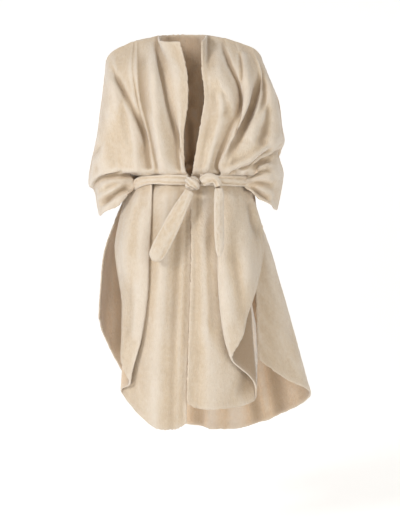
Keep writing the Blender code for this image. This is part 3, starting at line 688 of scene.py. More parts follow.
def through(points, steps, spans=None):
    """A smooth curve, or a row of them, through points: steps[i] steps from point i to i + 1.

    spans are the lengths that pace it, or else the distances between the points.
    """
    points = np.asarray(points, float)
    if spans is None:
        spans = np.linalg.norm(np.diff(points, axis=0), axis=-1)
    paces = np.sqrt(spans)
    knots = np.concatenate([[0.0], np.cumsum(np.maximum(paces, 1e-6))])
    ends = (2 * points[0] - points[1], 2 * points[-1] - points[-2])
    points = np.concatenate([ends[:1], points, ends[1:]])
    knots = np.concatenate([[-paces[0]], knots, [knots[-1] + paces[-1]]])
    curve = [points[1]]
    for i, count in enumerate(steps):
        p, k = points[i : i + 4], knots[i : i + 4]
        for t in np.linspace(k[1], k[2], count + 1)[1:]:
            curve.append(barry_goldman(p, k, t))
    return np.array(curve)


def barry_goldman(p, k, t):
    """A point of the Catmull-Rom curve through four points at the given knots."""
    a = [mix(p[i], p[i + 1], k[i], k[i + 1], t) for i in range(3)]
    b = [mix(a[i], a[i + 1], k[i], k[i + 2], t) for i in range(2)]
    return mix(b[0], b[1], k[1], k[2], t)


def mix(p, q, start, end, t):
    return p * ((end - t) / (end - start)) + q * ((t - start) / (end - start))


def plain_front(name, x):
    """How far back the plain front section stands at x, in millimetres."""
    _, centre, half, depth = FRONT_SECTIONS[name]
    share = min(abs(x - centre) / half, 1.0)
    return -depth * math.sqrt(1.0 - share**SQUARENESS)


def back_section(name):
    """The points of the back's lines at one section."""
    height, centre, half, _ = FRONT_SECTIONS[name]
    if name in BACK_SECTIONS:
        return [(x, y, height) for x, y in BACK_SECTIONS[name]]
    points = []
    for x in BACK_BELT_ACROSS:
        share = min(abs(x - centre) / half, 1.0)
        points.append((x, WAIST_BACK * math.sqrt(1.0 - share**SQUARENESS), height))
    return points


def front_section(name, across, lifts):
    """The points of a front's lines at one section, the pleat's two folds doubled."""
    height = FRONT_SECTIONS[name][0]
    outward = math.copysign(1.0, across[-1])
    overlap = (across[4] - across[5]) * outward
    share = min(max((overlap + PLEAT_BLEND / 2) / PLEAT_BLEND, 0.0), 1.0)
    spread = VALLEY_HALF * outward * (1.0 - share)
    points = []
    for line, x, lift in zip(FRONT_LINES, across, lifts):
        y = plain_front(name, x)
        if line == "tip":
            points.append((x - spread, y - lift, height))
            points.append((x + spread, y - lift - TIP_GAP * share, height))
        elif line == "crease":
            points.append((x - spread, y - lift + CREASE_GAP * share, height))
            points.append((x + spread, y - lift, height))
        else:
            points.append((x, y - lift, height))
    return points


def front_top(top):
    """The points of a front's lines along the neck edge and the shoulder seam."""
    outward = math.copysign(1.0, top["seam"][0])
    points = []
    for line in FRONT_LINES:
        x, y, z = top[line]
        if line in ("tip", "crease"):
            points.append((x - TOP_FOLD_HALF * outward, y, z))
            points.append((x + TOP_FOLD_HALF * outward, y, z))
        else:
            points.append((x, y, z))
    return points + [top[line] for line in ARM_LINES]


def spans_between(names):
    """The drops between sections."""
    return -np.diff([FRONT_SECTIONS[name][0] for name in names])


def upper_grid(rows, steps):
    """Points of the cloth above the belt, from rows of line points."""
    spans = np.concatenate([[-FRONT_SECTIONS[UPPER[0]][0]], spans_between(UPPER)])
    along = through(rows, UPPER_STEPS, spans)
    return np.array([through(row, steps) for row in along]), along


def lower_grid(sections, hem, steps):
    """Points of the cloth below the belt: each column runs from the belt down to the hem."""
    facets = [LEVELS // (len(sections) - 1)] * (len(sections) - 1)
    along = through(sections, facets, spans_between(LOWER))
    levels = np.array([through(section, steps) for section in along])
    ends = through([(*p[:2], z) for p, z in zip(sections[-1], hem)], steps)[:, 2]
    top = levels[0, :, 2]
    shares = np.linspace(0.0, 1.0, LOWER_ROWS + 1)[1:] ** LOWER_PACE
    z = top + (ends - top) * shares[:, None]
    grid = np.empty((*z.shape, 3))
    for column in range(z.shape[1]):
        heights = levels[::-1, column, 2]
        grid[:, column, 0] = np.interp(z[:, column], heights, levels[::-1, column, 0])
        grid[:, column, 1] = np.interp(z[:, column], heights, levels[::-1, column, 1])
    grid[:, :, 2] = z
    return grid


def free_sleeve(along, start, free, column_steps):
    """The sleeve's rows beside the belt, from their free edge outwards to the seam."""
    edge = through([start, *free], UPPER_STEPS[-2:])[1:]
    steps = (column_steps[0] - 1, *column_steps[1:])
    rows = [through([point, *lines], steps) for point, lines in zip(edge, along)]
    return np.array(rows)


def front_grid(top, across, lift, sleeve, free, hem):
    """A front as a grid of points, with no point where the sleeve is open below the belt."""
    rows = [front_top(top)]
    for name in UPPER:
        rows.append(front_section(name, across[name], lift[name]) + list(sleeve[name]))
    upper, along = upper_grid(rows, FRONT_STEPS + ARM_STEPS)
    side = sum(FRONT_STEPS)
    arm = free_sleeve(along[SLIT_TOP + 1 :, -4:], upper[SLIT_TOP, side + 1], free, ARM_STEPS)
    upper[SLIT_TOP + 1 :, side + 1 :] = arm
    sections = [front_section(name, across[name], lift[name]) for name in LOWER]
    lower = lower_grid(sections, hem, FRONT_STEPS)
    blank = np.full((len(lower), sum(ARM_STEPS), 3), np.nan)
    return np.concatenate([upper, np.concatenate([lower, blank], axis=1)])


def back_grid():
    """The back as a grid of points, from the right sleeve's seam to the left one's."""
    right_top = [RIGHT_TOP[line] for line in reversed(ARM_LINES)]
    left_top = [LEFT_TOP[line] for line in ARM_LINES]
    rows = [right_top + list(BACK_TOP) + left_top]
    for name in UPPER:
        right = [RIGHT_SLEEVE[name][3], *reversed(BACK_RIGHT_SLEEVE[name])]
        left = [*BACK_LEFT_SLEEVE[name], LEFT_SLEEVE[name][3]]
        rows.append(right + back_section(name) + left)
    upper, along = upper_grid(rows, ARM_STEPS + BACK_STEPS + ARM_STEPS)
    arm = sum(ARM_STEPS)
    below = slice(SLIT_TOP + 1, None)
    right = free_sleeve(along[below, 3::-1], upper[SLIT_TOP, arm - 1], BACK_RIGHT_FREE, ARM_STEPS)
    left = free_sleeve(along[below, -4:], upper[SLIT_TOP, -arm], BACK_LEFT_FREE, ARM_STEPS)
    upper[below, :arm] = right[:, ::-1]
    upper[below, -arm:] = left
    sections = [back_section(name) for name in LOWER]
    lower = lower_grid(sections, BACK_HEM, BACK_STEPS)
    blank = np.full((len(lower), arm, 3), np.nan)
    return np.concatenate([upper, np.concatenate([blank, lower, blank], axis=1)])


# --------------------------------------------------------------------------- cloth as a shell


def cloth_cells(grid, slits):
    """The cells of the grid whose four corners are real, less those of the slits."""
    real = ~np.isnan(grid[:, :, 0])
    cells = real[:-1, :-1] & real[1:, :-1] & real[:-1, 1:] & real[1:, 1:]
    cells[SLIT_TOP:SLIT_END, list(slits)] = False
    return cells


def grid_normals(grid, cells, sign):
    """Unit normals of a grid of points, turned outwards by sign."""
    filled = np.nan_to_num(grid)
    a, b = filled[:-1, :-1], filled[:-1, 1:]
    c, d = filled[1:, 1:], filled[1:, :-1]
    faces = np.cross(c - a, d - b) * sign * cells[:, :, None]
    normals = np.zeros_like(filled)
    for corner in (normals[:-1, :-1], normals[:-1, 1:], normals[1:, 1:], normals[1:, :-1]):
        corner += faces
    return unit(normals)


def unit(vectors):
    length = np.linalg.norm(vectors, axis=-1, keepdims=True)
    return vectors / np.maximum(length, 1e-9)


def level_seams(grid, normals, shoulders, arms, side):
    """Brings the shoulders and arm seams to the seam plane, with the wall square to it."""
    plane = SEAM_Y + side * SEAM_GAP / 2
    grid[0, shoulders, 1] = plane
    normals[0, shoulders, 1] = 0.0
    for column in arms:
        grid[:, column, 1] = np.where(np.isnan(grid[:, column, 1]), np.nan, plane)
        normals[:, column, 1] = 0.0
    return unit(normals)


def smooth_step(low, high, value):
    share = np.clip((value - low) / (high - low), 0.0, 1.0)
    return share * share * (3.0 - 2.0 * share)


def crease_heights(points, normals, creases, strength):
    """How far each crease pushes the cloth out, or in where it is negative, in millimetres."""
    heights = np.zeros(points.shape[:2])
    rows = [(seen, Crease(*row)) for seen, rows in creases.items() for row in rows]
    for seen, crease in rows:
        axis, towards = SIDES[seen]
        path = through(crease.path, [PATH_STEPS] * (len(crease.path) - 1))
        flat = points[:, :, [axis, 2]]
        best = np.full(heights.shape, np.inf)
        along = np.zeros(heights.shape)
        side = np.zeros(heights.shape)
        total = len(path) - 1
        for i in range(total):
            start, step = path[i], path[i + 1] - path[i]
            share = np.clip(((flat - start) @ step) / (step @ step), 0.0, 1.0)
            gap = np.linalg.norm(flat - start - share[:, :, None] * step, axis=-1)
            nearer = gap < best
            best[nearer] = gap[nearer]
            along[nearer] = (i + share[nearer]) / total
            away = step[0] * (flat[:, :, 1] - start[1]) - step[1] * (flat[:, :, 0] - start[0])
            side[nearer] = away[nearer] / np.linalg.norm(step)
        facing = smooth_step(*FACING, normals @ np.array(towards))
        taper = smooth_step(*FADE_IN, along) * smooth_step(*FADE_OUT, 1.0 - along)
        reach = best / crease.width
        trough = -crease.depth * np.exp(-(reach**2))
        tail = LEANING_TAIL if crease.lean else RIDGE_TAIL
        spread = np.where(reach > RIDGE_PLACE, tail, 1.0)
        ridge = crease.ridge * np.exp(-(((reach - RIDGE_PLACE) / spread) ** 2))
        if crease.lean:
            ridge *= (1.0 + crease.lean * np.tanh(LEAN_TURN * side / crease.width)) / 2
        heights += np.nan_to_num((trough + ridge) * facing * taper)
    return heights * strength


def gather_heights(points, height):
    """Small upright waves in the cloth just above and below the belt, in millimetres."""
    belt = points[SLIT_END]
    around = np.cumsum(np.linalg.norm(np.diff(belt, axis=0, prepend=belt[:1]), axis=-1))
    waves = sum(np.sin(2 * math.pi * around / length + phase) for length, phase in GATHER_WAVES)
    gap = np.abs(points[:, :, 2] - BELT_MIDDLE) - BELT_HEIGHT / 2
    reach = np.clip(gap, 0.0, None) / GATHER_REACH
    return np.nan_to_num(height / len(GATHER_WAVES) * waves * reach * np.exp(1.0 - reach))


def ripple_heights(points, height):
    """A soft unevenness, so that no stretch of cloth is quite flat, in millimetres."""
    total = np.zeros(points.shape[:2])
    for *wave, phase in RIPPLES:
        total += np.sin(np.nan_to_num(points) @ np.array(wave) + phase)
    return total * height / len(RIPPLES)


def tuft_heights(points, height):
    """The uneven pile itself, in soft tufts, in millimetres."""
    heights = np.zeros(points.shape[:2])
    for place in zip(*np.nonzero(~np.isnan(points[:, :, 0]))):
        at = Vector(points[place])
        fine = noise.noise(at / TUFT_SIZE * FINE_TUFTS)
        heights[place] = noise.noise(at / TUFT_SIZE) + FINE_SHARE * fine
    return heights * height


def clear_of_belt(points, heights):
    """Lets no crease lift the cloth where the sash lies on it."""
    gap = np.abs(points[:, :, 2] - BELT_MIDDLE) - BELT_HEIGHT / 2
    across = points[:, :, 0] - FRONT_SECTIONS["belt"][1]
    inside = np.hypot(across, points[:, :, 1] * SASH_ROUND) < SASH_REACH
    share = smooth_step(0.0, SASH_FADE, np.nan_to_num(gap, nan=FAR))
    return np.where(inside, heights * share, heights)


def free_edge_gaps(grid, cells, seams):
    """How far each point is from the nearest free edge, in millimetres."""
    loops = boundary(cells)
    tree = KDTree(len(loops))
    count = 0
    for a, b in loops:
        if a in seams and b in seams:
            continue
        tree.insert(grid[a], count)
        count += 1
    tree.balance()
    gaps = np.full(grid.shape[:2], FAR)
    for place in zip(*np.nonzero(~np.isnan(grid[:, :, 0]))):
        gaps[place] = tree.find(grid[place])[2]
    return gaps


def boundary(cells):
    """The directed edges round the cells, as pairs of grid places."""
    edges = {}
    for i, j in zip(*np.nonzero(cells)):
        corners = [(i, j), (i, j + 1), (i + 1, j + 1), (i + 1, j)]
        for a, b in zip(corners, corners[1:] + corners[:1]):
            if not edges.pop((b, a), None):
                edges[(a, b)] = True
    return list(edges)


def hollowness(grid, normals, around=False):
    """How hollow the cloth is at each point, from -1 on a ridge to 1 in a crease."""
    total = np.zeros(grid.shape[:2])
    for k in HOLLOW_STEPS:
        for axis in (0, 1):
            before = np.roll(grid, k, axis)
            after = np.roll(grid, -k, axis)
            bulge = ((before + after) / 2 - grid) * normals
            width = np.linalg.norm(after - before, axis=-1)
            share = bulge.sum(-1) / np.maximum(width, 1.0)
            if axis == 0 or not around:
                ends = [slice(None)] * 2
                for ends[axis] in (slice(0, k), slice(-k, None)):
                    share[tuple(ends)] = 0.0
            total += np.nan_to_num(share)
    total = np.clip(total * HOLLOW_GAIN, -1.0, 1.0)
    for _ in range(2):
        for axis in (0, 1):
            total = (np.roll(total, 1, axis) + 2 * total + np.roll(total, -1, axis)) / 4
    return total


def cloth_lengths(grid):
    """Places on the flat cloth, in metres: along each row, and down each column."""
    across = np.linalg.norm(np.diff(grid, axis=1, prepend=grid[:, :1]), axis=-1)
    down = np.linalg.norm(np.diff(grid, axis=0, prepend=grid[:1]), axis=-1)
    u = np.cumsum(np.nan_to_num(across), axis=1)
    v = np.cumsum(np.nan_to_num(down), axis=0)
    return np.stack([u - u[:, u.shape[1] // 2, None], v], axis=-1) * MM


def shell_mesh(name, grid, cells, normals, walls, marks, flip):
    """A closed shell with a round rim: the grid, an inner copy, and the rim between them."""
    real = ~np.isnan(grid[:, :, 0])
    index = -np.ones(real.shape, int)
    index[real] = np.arange(real.sum())
    outer = grid[real]
    inner = outer - (normals * walls[:, :, None])[real]
    count = len(outer)
    loops = boundary(cells)
    outward = np.zeros_like(grid)
    for a, b in loops:
        side = np.cross(grid[b] - grid[a], normals[a]) * (1.0 if not flip else -1.0)
        outward[a] += side
        outward[b] += side
    outward = unit(outward)
    rim_places = sorted({a for a, _ in loops})
    rim_index = {place: k for k, place in enumerate(rim_places)}
    rows, columns = np.array(rim_places).T
    half = walls[rows, columns, None] / 2
    middle = grid[rows, columns] - normals[rows, columns] * half
    fuzz = np.array([noise.noise(Vector(grid[place]) / FUZZ_SIZE) for place in rim_places])
    stretch = RIM_REACH + fuzz[:, None]
    rims = []
    for k in range(1, RIM_STEPS):
        turn = math.pi * k / RIM_STEPS
        rims.append(
            middle
            + normals[rows, columns] * half * math.cos(turn)
            + outward[rows, columns] * half * math.sin(turn) * stretch
        )
    vertices = np.concatenate([outer, inner, *rims]) * MM
    rim_starts = [2 * count + k * len(rim_places) for k in range(RIM_STEPS - 1)]
    faces, sides = [], []
    for i, j in zip(*np.nonzero(cells)):
        quad = [index[i, j], index[i, j + 1], index[i + 1, j + 1], index[i + 1, j]]
        if flip:
            quad.reverse()
        faces.append(quad)
        faces.append([v + count for v in reversed(quad)])
        sides += [0, 1]
    for a, b in loops:
        if flip:
            a, b = b, a
        first, second = (
            [index[p], *(start + rim_index[p] for start in rim_starts), index[p] + count]
            for p in (a, b)
        )
        for k in range(RIM_STEPS):
            faces.append([second[k], first[k], first[k + 1], second[k + 1]])
            sides.append(0)
    mesh = bpy.data.meshes.new(name)
    mesh.from_pydata(vertices.tolist(), [], faces)
    mesh.polygons.foreach_set("material_index", sides)
    mesh.polygons.foreach_set("use_smooth", [True] * len(faces))
    for key, values in marks.items():
        inside = values[real] * (1.0 if key == "edge" else -1.0)
        rim = [values[rows, columns]] * (RIM_STEPS - 1)
        set_mark(mesh, key, np.concatenate([values[real], inside, *rim]))
    lengths = cloth_lengths(grid)
    rim = [lengths[rows, columns]] * (RIM_STEPS - 1)
    lay_flat(mesh, np.concatenate([lengths[real], lengths[real], *rim]))
    return mesh


def set_mark(mesh, key, values):
    """A value at each point of a mesh, for its material."""
    marks = mesh.attributes.new(key, "FLOAT", "POINT")
    marks.data.foreach_set("value", values.astype(np.float32).ravel())


def lay_flat(mesh, flat):
    """Lays the flat cloth out as a UV map in metres, so that the nap follows the cloth."""
    corners = np.empty(len(mesh.loops), np.int32)
    mesh.loops.foreach_get("vertex_index", corners)
    layer = mesh.uv_layers.new(name="cloth")
    layer.data.foreach_set("uv", flat[corners].astype(np.float32).ravel())


def add_panel(name, node, grid, slits, sign, seams, creases, gather, pleat=0.0):
    """Makes a panel of cloth from its plain grid, and puts it in place of its solid."""
    cloth = bpy.context.scene.cape_cloth
    cells = cloth_cells(grid, slits)
    normals = grid_normals(grid, cells, sign)
    heights = crease_heights(grid, normals, creases, cloth.crease_depth)
    heights += gather_heights(grid, gather / MM) + ripple_heights(grid, cloth.ripple / MM)
    heights = clear_of_belt(grid, heights)
    grid = grid + normals * heights[:, :, None]
    normals = grid_normals(grid, cells, sign)
    # Painted shade: the troughs of the creases darken the pile's colour, on top of its hollows.
    hollow = hollowness(grid, normals) + TROUGH_SHADE * np.clip(-heights, 0.0, None)
    # Painted shade on the wrong side inside each front's pleat below the sash.
    hollow[SLIT_END:, PLEAT_COLUMNS] -= pleat
    grid = grid + normals * tuft_heights(grid, cloth.tufts / MM)[:, :, None]
    shoulders, arms, side = seams
    normals = level_seams(grid, normals, shoulders, arms, side)
    seam_places = {(0, int(j)) for j in np.arange(grid.shape[1])[shoulders]}
    for column in arms:
        seam_places |= {(i, column % grid.shape[1]) for i in range(grid.shape[0])}
    gaps = free_edge_gaps(grid, cells, seam_places)
    reach = gaps * MM / cloth.edge_width
    bead = cloth.edge_bead / MM * np.exp(-(reach**2))
    grid = grid + normals * bead[:, :, None] / 2
    # hollow paints shade into creases and a highlight onto ridges; edge paints a highlight along
    # free edges.
    marks = {"hollow": hollow, "edge": np.exp(-reach)}
    mesh = shell_mesh(name, grid, cells, normals, cloth.wall / MM + bead, marks, sign < 0)
    mesh.materials.append(pile_material("pile_outside"))
    # The wrong side's material carries painted warm bounce light in its colour.
    mesh.materials.append(pile_material("pile_inside"))
    return place_piece(name, mesh, node)


def place_piece(name, mesh, node):
    """Puts a piece in the scene in place of its solid."""
    obj = bpy.data.objects.new(name, mesh)
    bpy.context.scene.collection.objects.link(obj)
    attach(obj, ROOT)
    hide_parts(node)
    return obj


def add_front(name, node, tables, outward, creases):
    grid = front_grid(*tables)
    shoulder = slice(sum(FRONT_STEPS[:2]), None)
    gather = bpy.context.scene.cape_cloth.gather_front
    seams = (shoulder, (-1,), -1.0)
    add_panel(
        name, node, grid, (sum(FRONT_STEPS),), -outward, seams, creases, gather,
        PLEAT_SHADE[outward],
    )


def add_back(name):
    grid = back_grid()
    arm = sum(ARM_STEPS)
    right = np.arange(arm + sum(BACK_STEPS[:2]) + 1)
    left = np.arange(arm + sum(BACK_STEPS[:6]), grid.shape[1])
    seams = (np.concatenate([right, left]), (0, -1), 1.0)
    slits = (arm - 1, arm + sum(BACK_STEPS))
    gather = bpy.context.scene.cape_cloth.gather_back
    add_panel(
        name, "back", grid, slits, 1.0, seams, BACK_CREASES, gather
    )


# ------------------------------------------------------------------------------------- the sash


def ring_point(turn):
    """A point of the waist ring at an angle from the wearer's left, measured over the back."""
    _, centre, half, front = FRONT_SECTIONS["belt"]
    out = BAND_EASE + BELT_THICK / 2
    depth = front if math.sin(turn) < 0 else WAIST_BACK
    across = math.copysign(abs(math.cos(turn)) ** (2 / SQUARENESS), math.cos(turn))
    return (centre + (half + out) * across, (depth + out) * math.sin(turn), BELT_MIDDLE)


def away_from_waist(point):
    return Vector((point[0] - FRONT_SECTIONS["belt"][1], point[1] * WAIST_ROUND, 0.0))


def to_the_front(point):
    return Vector((0.0, -1.0, 0.0))


def evenly(rows, pitch):
    """The same swept stations, spread evenly along their path."""
    lengths = np.linalg.norm(np.diff(rows[:, :3], axis=0, prepend=rows[:1, :3]), axis=1).cumsum()
    places = np.linspace(0.0, lengths[-1], max(int(lengths[-1] / pitch), 8))
    return np.stack([np.interp(places, lengths, column) for column in rows.T], axis=1), places


def sash_folds(across, front, along, pleats):
    """Lengthwise folds of the bunched cloth, from -1 to 1, wandering as they run along."""
    total = 0.0
    for count, drift, phase, share in pleats:
        wander = math.sin(along / drift + phase)
        total += share * math.sin(math.pi * count * across + WANDER * wander + phase * (1 + front))
    return total


def sash_rings(stations, towards, pleats, depth, rounded):
    """The rings of points of a length of sash, and how far along it each ring is."""
    sash = bpy.context.scene.cape_sash
    spans = np.ones(len(stations) - 1)
    path = through(stations, [STATION_STEPS] * len(spans), spans)
    rows, places = evenly(path, sash.pitch / MM)
    tangents = unit(np.gradient(rows[:, :3], axis=0))
    rings = []
    for (*middle, width, thick, twist, curl), tangent, along in zip(rows, tangents, places):
        line = Vector(tangent)
        out = towards(middle)
        out = (out - line * out.dot(line)).normalized()
        out.rotate(Quaternion(line, math.radians(twist)))
        side = line.cross(out)
        end = places[-1] - along if rounded else thick
        close = math.sqrt(max(1.0 - (1.0 - min(end / thick, 1.0)) ** 2, 0.01))
        ring = []
        for i in range(sash.around):
            turn = 2 * math.pi * i / sash.around
            c, s = math.cos(turn), math.sin(turn)
            across = math.copysign(abs(c) ** SASH_SQUARE[0], c)
            front = math.copysign(1.0, s)
            rise = math.copysign(abs(s) ** SASH_SQUARE[1], s) * thick / 2
            rise += front * depth * abs(s) * sash_folds(across, front, along, pleats)
            tuft = noise.noise(Vector((across * width, along, front * SIDES_APART)) / TUFT_SIZE)
            rise = rise * close + curl * (1.0 - across**2) + tuft * SASH_TUFTS * s
            half = width / 2 * (END_WIDTH + (1.0 - END_WIDTH) * close)
            ring.append(Vector(middle) + side * (across * half) + out * rise)
        rings.append(ring)
    return np.array(rings), places


def tube_mesh(name, rings, places):
    """A closed tube through rings of points, with its marks and its cloth map."""
    count, around = rings.shape[:2]
    middle = rings.mean(axis=1, keepdims=True)
    tangent = np.gradient(rings, axis=0)
    normals = unit(np.cross(np.roll(rings, -1, 1) - np.roll(rings, 1, 1), tangent))
    if ((rings - middle) * normals).sum() < 0:
        normals = -normals
    hollow = hollowness(rings, normals, around=True)
    reach = np.linalg.norm(rings - middle, axis=-1)
    edge = (reach / reach.max(axis=1, keepdims=True)) ** EDGE_SHARPNESS
    faces = []
    for i in range(count - 1):
        for j in range(around):
            k = (j + 1) % around
            a, b = i * around, (i + 1) * around
            faces.append((a + j, a + k, b + k, b + j))
    faces.append(tuple(reversed(range(around))))
    faces.append(tuple(range((count - 1) * around, count * around)))
    mesh = bpy.data.meshes.new(name)
    mesh.from_pydata((rings.reshape(-1, 3) * MM).tolist(), [], faces)
    # These marks paint shade into the sash's hollows and a highlight along its outer edges.
    set_mark(mesh, "hollow", hollow)
    set_mark(mesh, "edge", edge)
    girth = np.linalg.norm(np.diff(rings, axis=1, prepend=rings[:, :1]), axis=-1).cumsum(1)
    flat = np.stack([girth, np.repeat(places[:, None], around, 1)], axis=-1).reshape(-1, 2) * MM
    lay_flat(mesh, flat)
    return finish_solid(mesh)


def finish_solid(mesh):
    """Turns a closed mesh's faces outwards, smooths it and gives it the sash's finish."""
    bm = bmesh.new()
    bm.from_mesh(mesh)
    bmesh.ops.recalc_face_normals(bm, faces=bm.faces)
    bm.to_mesh(mesh)
    bm.free()
    mesh.shade_smooth()
    mesh.materials.append(pile_material("pile_sash"))
    return mesh


def add_sash_length(name, node, stations, towards, pleats, rounded):
    """Makes one length of the sash. Its cut is as long as it is, and as wide as its two faces."""
    depth = bpy.context.scene.cape_sash.folds / MM
    rings, places = sash_rings(stations, towards, pleats, depth, rounded)
    mesh = tube_mesh(name, rings, places)
    return place_piece(name, mesh, node)


def wave_at(turn, height, count, phase):
    return height * math.sin(count * turn + phase)


def band_stations():
    """The band round the waist. Its right half is drawn thinner, and dips under the blouse."""
    start, end = math.radians(BAND_START), math.radians(BAND_END)
    stations = []
    for i in range(BAND_STATIONS):
        share = i / (BAND_STATIONS - 1)
        turn = start + (end - start) * share
        x, y, z = ring_point(turn)
        swell = 1.0 + sum(wave_at(turn, *each) for each in BAND_SWELLS)
        thinner = 1.0 - BAND_THINNING * smooth_step(THIN_FROM, THIN_TO, share)
        height = (BELT_HEIGHT + BAND_TALLER) * swell * thinner
        z += BAND_RISE + wave_at(turn, *BAND_SWAY)
        dip = math.exp(-(((x - DIP_PLACE) / DIP_WIDTH) ** 2)) * smooth_step(*DIP_FRONT, y)
        twist = BAND_TWIST * math.sin(2 * turn)
        thick = BELT_THICK + BAND_THICKER
        stations.append((x, y, z - DIP_DEPTH * dip, height, thick, twist, 0.0))
    return stations


def add_knot(name):
    """The half knot: a soft lump with one turn of the sash wrapped slantwise over its front."""
    rings = []
    for i in range(1, KNOT_ROWS):
        tilt = math.pi * i / KNOT_ROWS
        ring = []
        for j in range(KNOT_AROUND):
            turn = 2 * math.pi * j / KNOT_AROUND
            way = np.array(
                (math.sin(tilt) * math.cos(turn), math.sin(tilt) * math.sin(turn), math.cos(tilt))
            )
            ring.append(knot_point(way))
        rings.append(ring)
    rings = np.array(rings)
    return tube_mesh(name, rings, np.arange(len(rings)) * KNOT_PITCH)


def knot_point(way):
    """The knot's surface in one direction from its middle."""
    squared = np.sign(way) * np.abs(way) ** KNOT_SQUARE
    point = np.array(KNOT_CENTRE) + squared * np.array(KNOT_SIZE) / 2
    slant = math.radians(WRAP_SLANT)
    gap = way[0] * math.sin(slant) + way[2] * math.cos(slant) + WRAP_LEAN * way[1]
    wrap = smooth_step(*WRAP_EDGE, abs(gap))
    seam = math.exp(-(((abs(gap) - WRAP_SEAM) / SEAM_WIDTH) ** 2))
    folds = WRAP_FOLD_HEIGHT * wrap * math.sin(WRAP_FOLDS * gap + 2.0 * way[0])
    turn = math.atan2(way[2], way[0])
    folds += SIDE_FOLD_HEIGHT * (1.0 - wrap) * math.sin(SIDE_FOLDS * turn + 3.0 * way[1])
    tuft = noise.noise(Vector(point) / TUFT_SIZE) * KNOT_TUFTS
    return point + way * (WRAP_RISE * wrap - SEAM_DEPTH * seam + folds + tuft)


# ------------------------------------------------------------------------------------ materials


class Nodes:
    """Adds nodes to a material, one line each."""

    def __init__(self, material):
        material.use_nodes = True
        self.tree = material.node_tree
        self.shader = self.tree.nodes["Principled BSDF"]

    def add(self, kind, inputs=(), **settings):
        node = self.tree.nodes.new(kind)
        for key, value in settings.items():
            setattr(node, key, value)
        for key, value in dict(inputs).items():
            self.feed(node.inputs[key], value)
        return node

    def feed(self, socket, value):
        if isinstance(value, bpy.types.NodeSocket):
            self.tree.links.new(value, socket)
        else:
            socket.default_value = value

    def noise(self, at, scale, detail, stretch=None):
        if stretch:
            at = self.add("ShaderNodeMapping", {"Vector": at, "Scale": stretch}).outputs[0]
        inputs = {"Vector": at, "Scale": scale, "Detail": detail, "Roughness": 0.55}
        return self.add("ShaderNodeTexNoise", inputs).outputs["Fac"]

    def ramp(self, value, low, high, start, end):
        spans = {"From Min": low, "From Max": high, "To Min": start, "To Max": end}
        return self.add("ShaderNodeMapRange", {"Value": value, **spans}, clamp=True).outputs[0]

    def blend(self, share, first, second):
        node = self.add("ShaderNodeMix", data_type="RGBA")
        self.feed(node.inputs[0], share)
        self.feed(node.inputs[6], first)
        self.feed(node.inputs[7], second)
        return node.outputs[2]

    def maths(self, operation, first, second):
        node = self.add("ShaderNodeMath", operation=operation)
        self.feed(node.inputs[0], first)
        self.feed(node.inputs[1], second)
        return node.outputs[0]


def pile_material(name):
    """Soft long-napped cloth: cloudy cream, with painted shade in creases and painted highlight on
    ridges.
    """
    if name in bpy.data.materials:
        return bpy.data.materials[name]
    colours = bpy.context.scene.cape_colours
    material = bpy.data.materials.new(name)
    nodes = Nodes(material)
    at = nodes.add("ShaderNodeTexCoord").outputs["Object"]
    cloth = nodes.add("ShaderNodeUVMap", uv_map="cloth").outputs["UV"]
    hollow = nodes.add("ShaderNodeAttribute", attribute_name="hollow").outputs["Fac"]
    edge = nodes.add("ShaderNodeAttribute", attribute_name="edge").outputs["Fac"]
    clouds = nodes.noise(cloth, 1.0, 3.0, CLOUD_GRAIN)
    clumps = nodes.noise(at, CLUMP_GRAIN, 4.0)
    nap = nodes.noise(cloth, 1.0, 3.0, NAP_GRAIN)
    fibres = nodes.noise(cloth, 1.0, 2.0, FIBRE_GRAIN)

    deep, pale = (*colours.deep, 1), (*colours.pale, 1)
    layers = (
        # pattern from  to     share there  colour
        (clouds, 0.55, 0.30, 0.0, 0.16, deep),
        (clouds, 0.50, 0.72, 0.0, 0.30, pale),
        (clumps, 0.45, 0.75, 0.0, 0.26, pale),
        (nap, 0.30, 0.55, 0.16, 0.0, deep),
        (nap, 0.50, 0.75, 0.0, 0.16, pale),
        (fibres, 0.45, 0.75, 0.0, 0.22, pale),
        # painted shade in creases, troughs and the pleat's wrong side
        (hollow, 0.10, 1.30, 0.0, 0.90, deep),
        # painted highlight on ridges
        (hollow, -0.05, -0.80, 0.0, 0.45, pale),
        # painted highlight along rolled edges
        (edge, 0.40, 1.0, 0.0, 0.20, pale),
    )
    # The wrong side starts from a warmer, brighter copy of the cream: painted warm bounce light.
    colour = (*(colours.inside if name == "pile_inside" else colours.cream), 1)
    for pattern, low, high, start, end, tint in layers:
        colour = nodes.blend(nodes.ramp(pattern, low, high, start, end), colour, tint)
    nodes.feed(nodes.shader.inputs["Base Color"], colour)
    nodes.feed(nodes.shader.inputs["Roughness"], nodes.ramp(clumps, 0.3, 0.7, 0.84, 1.0))

    height = nodes.maths("MULTIPLY", clumps, CLUMP_HEIGHT)
    for pattern, share in ((nap, NAP_HEIGHT), (fibres, FIBRE_HEIGHT)):
        height = nodes.maths("ADD", height, nodes.maths("MULTIPLY", pattern, share))
    bump = nodes.add("ShaderNodeBump", {"Height": height, "Strength": 0.8, "Distance": 0.006})
    nodes.feed(nodes.shader.inputs["Normal"], bump.outputs[0])

    nodes.shader.inputs["Specular IOR Level"].default_value = 0.18
    nodes.shader.inputs["Sheen Weight"].default_value = 0.65
    nodes.shader.inputs["Sheen Roughness"].default_value = 0.45
    nodes.shader.inputs["Sheen Tint"].default_value = (0.97, 0.97, 1.0, 1.0)
    return material


